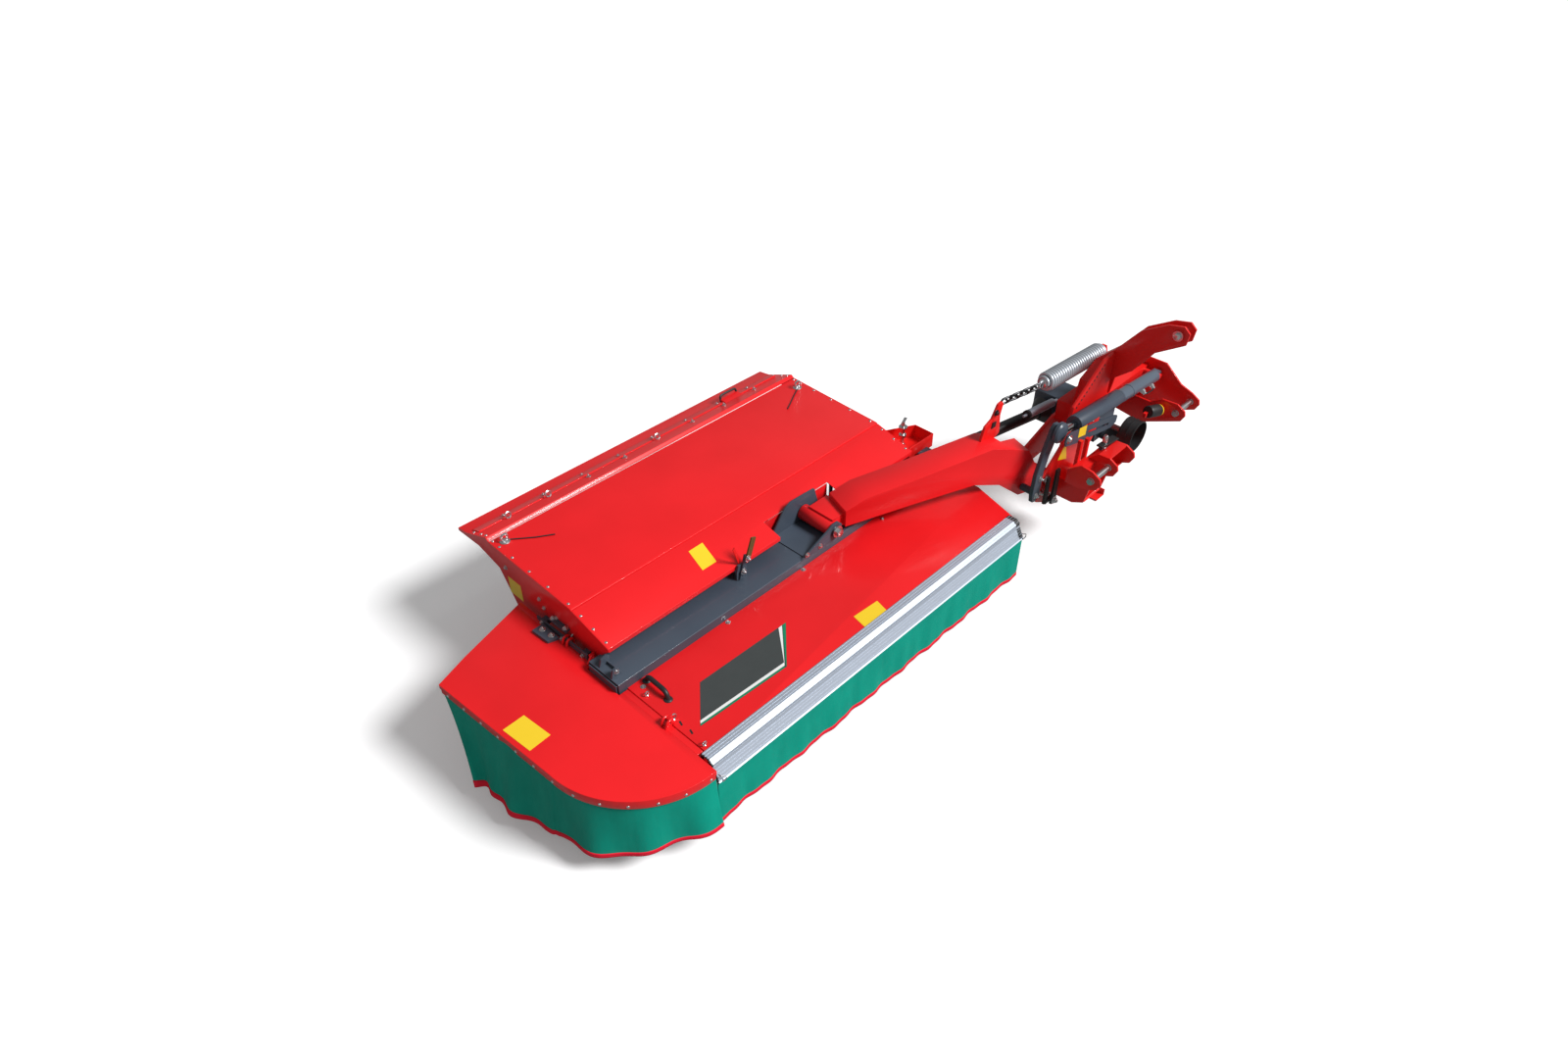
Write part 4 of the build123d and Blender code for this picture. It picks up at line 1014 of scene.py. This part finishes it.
holeRow = {"from": (2024, 858), "to": (2293, 1053), "shares": (0.06, 0.96), "count": 12}
share = np.linspace(*holeRow["shares"], holeRow["count"])[:, None]
holeSpots = holeRow["from"] + share * np.subtract(holeRow["to"], holeRow["from"])
holes = [(x, plateFace, z) for x, z in holeSpots]
# painted shade: a thin black disc with a black rim lies over each hole of the plate, standing for the dark
# inside of the hole
holeShade = turned([(0, 0), (7, 0), (7, 0.8), (4.6, 0.8), (4.6, 0.2), (0, 0.2)], blackPlastic, 14)
makePiece("plate_hole_painted_shade", repeated(holeShade, holes, ahead), "headstock")

lockPin = [(0, 0), (20, 0), (20, 6), (15, 8), (15, 74), (11, 82), (0, 82)]
makePiece("lock_pin", joined(
    turned(lockPin, zinc, 24, (2085, -400, 668)),
    turned(rectangle(0, 0, 27, 12), slatePaint, 24, (2085, -400, 656)),
    extruded([(2030, -418), (2180, -436), (2184, -392), (2034, -378)], "z", 692, 702, blackPlastic),
), "headstock", bevel=1.0)

boxWay = (0.94, -0.10, -0.28)
boxBody = [(0, 0), (34, 0), (37, 6), (37, 120), (0, 120)]
makePiece("twine_box", joined(
    turned(boxBody, blackPlastic, 28, (2600, -395, 668), boxWay),
    turned([(0, 0), (36, 0), (36, 12), (30, 16), (0, 16)], yellowFilm, 28, (2713, -407, 634), boxWay),
    extruded(rectangle(2570, 640, 2640, 668), "y", -400, -380, frameRed),
), "headstock", bevel=1.0)

latchWay = (0.989, 0, -0.149)
latchBarrel = [(0, 0), (8, 0), (8, 34), (24, 38), (26, 44), (26, 330),
               (22, 336), (12, 336), (12, 384), (0, 384)]
makePiece("latch_cylinder", joined(
    turned(latchBarrel, railMetal, 24, (2016, 100, 684), latchWay),
    turned(rectangle(0, 0, 28, 18), blackPlastic, 24, (2050, 100, 679), latchWay),
), "headstock", bevel=0.8)

stub = {"x": 2500, "z": 545, "front": -345, "back": -191,
        "splines": 6, "tooth": 0.55, "crest": 17.4, "root": 14.9}
# at the share tooth of each spline's angle the radius is crest, and at the rest of it root
splineAngle = np.linspace(0, 2 * math.pi, 72, endpoint=False)
onTooth = (splineAngle * stub["splines"] / (2 * math.pi)) % 1 < stub["tooth"]
splineRadius = np.where(onTooth, stub["crest"], stub["root"])
splines = np.stack([stub["x"] + splineRadius * np.cos(splineAngle),
                    stub["z"] + splineRadius * np.sin(splineAngle)], -1)
stubForm = extruded(splines, "y", stub["front"], stub["back"], steel)
stubPiece = makePiece("splined_stub", stubForm, "pto", sharp=25)
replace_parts(stubPiece, "pto_shaft")
ribProfile = [(97.2, 0), (100, 0), (100, 7), (97.2, 7)]
ribs = [turned(ribProfile, blackPlastic, 48, (stub["x"], y, stub["z"]), ahead, hollow=True)
        for y in (-330, -368, -406)]
makePiece("guard_ribs", joined(*ribs), "headstock")
makePiece("horn_bolts", joined(
    repeated(hexBolt(26, 12, steelDark), [(1590, 32, 935)], ahead),
    extruded([(1556, 846), (1592, 846), (1598, 878), (1562, 884)], "y", 26, 32, blackPlastic),
), "arm", bevel=1.0)
print("headstock fittings made")


# Floor, sky, sun and camera. Camera rays see a pale floor and a white sky, other rays duller ones.

floor = {"half": 60.0, "drop": 0.001, "colour": (0.93, 0.93, 0.935), "lift": 0.16, "bounce": 0.3}
half, level = floor["half"], -floor["drop"]
floorMesh = bpy.data.meshes.new("floor")
floorCorners = [(-half, -half, level), (half, -half, level), (half, half, level), (-half, half, level)]
floorMesh.from_pydata(floorCorners, [], [(0, 1, 2, 3)])
floorPiece = bpy.data.objects.new("floor", floorMesh)
bpy.context.scene.collection.objects.link(floorPiece)
ground = Finish("pale_floor", Roughness=0.9)
ground.put("Base Color", (*floor["colour"], 1))
seen = ground.node("ShaderNodeLightPath", {}, {}, "Is Camera Ray")
glow = ground.node("ShaderNodeEmission", {}, {"Strength": floor["lift"]})
pale = ground.node("ShaderNodeAddShader", {}, {0: Wire(ground, ground.shader.outputs[0]), 1: glow})
dull = ground.node("ShaderNodeBsdfDiffuse", {}, {"Color": (*[floor["bounce"]] * 3, 1)})
shown = ground.node("ShaderNodeMixShader", {}, {0: seen, 1: dull, 2: pale})
ground.feed(ground.tree.nodes["Material Output"].inputs["Surface"], shown)
floorMesh.materials.append(ground.material)

skyLight = {"seen": 1.0, "lighting": 0.26}
world = bpy.data.worlds.new("studio")
bpy.context.scene.world = world
world.use_nodes = True
sky = NodeTree(world.node_tree)
soft = sky.tree.nodes["Background"]
sky.feed(soft.inputs["Color"], (1, 1, 1, 1))
sky.feed(soft.inputs["Strength"], skyLight["lighting"])
white = sky.node("ShaderNodeBackground", {}, {"Color": (1, 1, 1, 1), "Strength": skyLight["seen"]})
seen = sky.node("ShaderNodeLightPath", {}, {}, "Is Camera Ray")
mixed = sky.node("ShaderNodeMixShader", {}, {0: seen, 1: Wire(sky, soft.outputs[0]), 2: white})
sky.feed(sky.tree.nodes["World Output"].inputs["Surface"], mixed)

sun = {"azimuth": -62.0, "elevation": 44.0, "strength": 3.75, "softness": 18.0}
lamp = bpy.data.lights.new("sun", "SUN")
lamp.energy, lamp.angle = sun["strength"], math.radians(sun["softness"])
lampPiece = bpy.data.objects.new("sun", lamp)
bpy.context.scene.collection.objects.link(lampPiece)
lampPiece.rotation_euler = (0, math.radians(90 - sun["elevation"]), math.radians(sun["azimuth"]))

camera = {"place": (-2709, -2500, 4031), "heading": 44.06, "down": 38.6, "lens": 23.85, "sensor": 36.0}
lens = bpy.data.cameras.new("camera")
lens.lens, lens.sensor_width, lens.clip_end = camera["lens"], camera["sensor"], 200.0
eye = bpy.data.objects.new("camera", lens)
bpy.context.scene.collection.objects.link(eye)
eye.location = deckOrigin + np.array(camera["place"]) / 1000
eye.rotation_euler = (math.radians(90 - camera["down"]), 0, math.radians(camera["heading"] - 90))
bpy.context.scene.camera = eye
bpy.context.scene.view_settings.view_transform = "Standard"

print("scene ready")
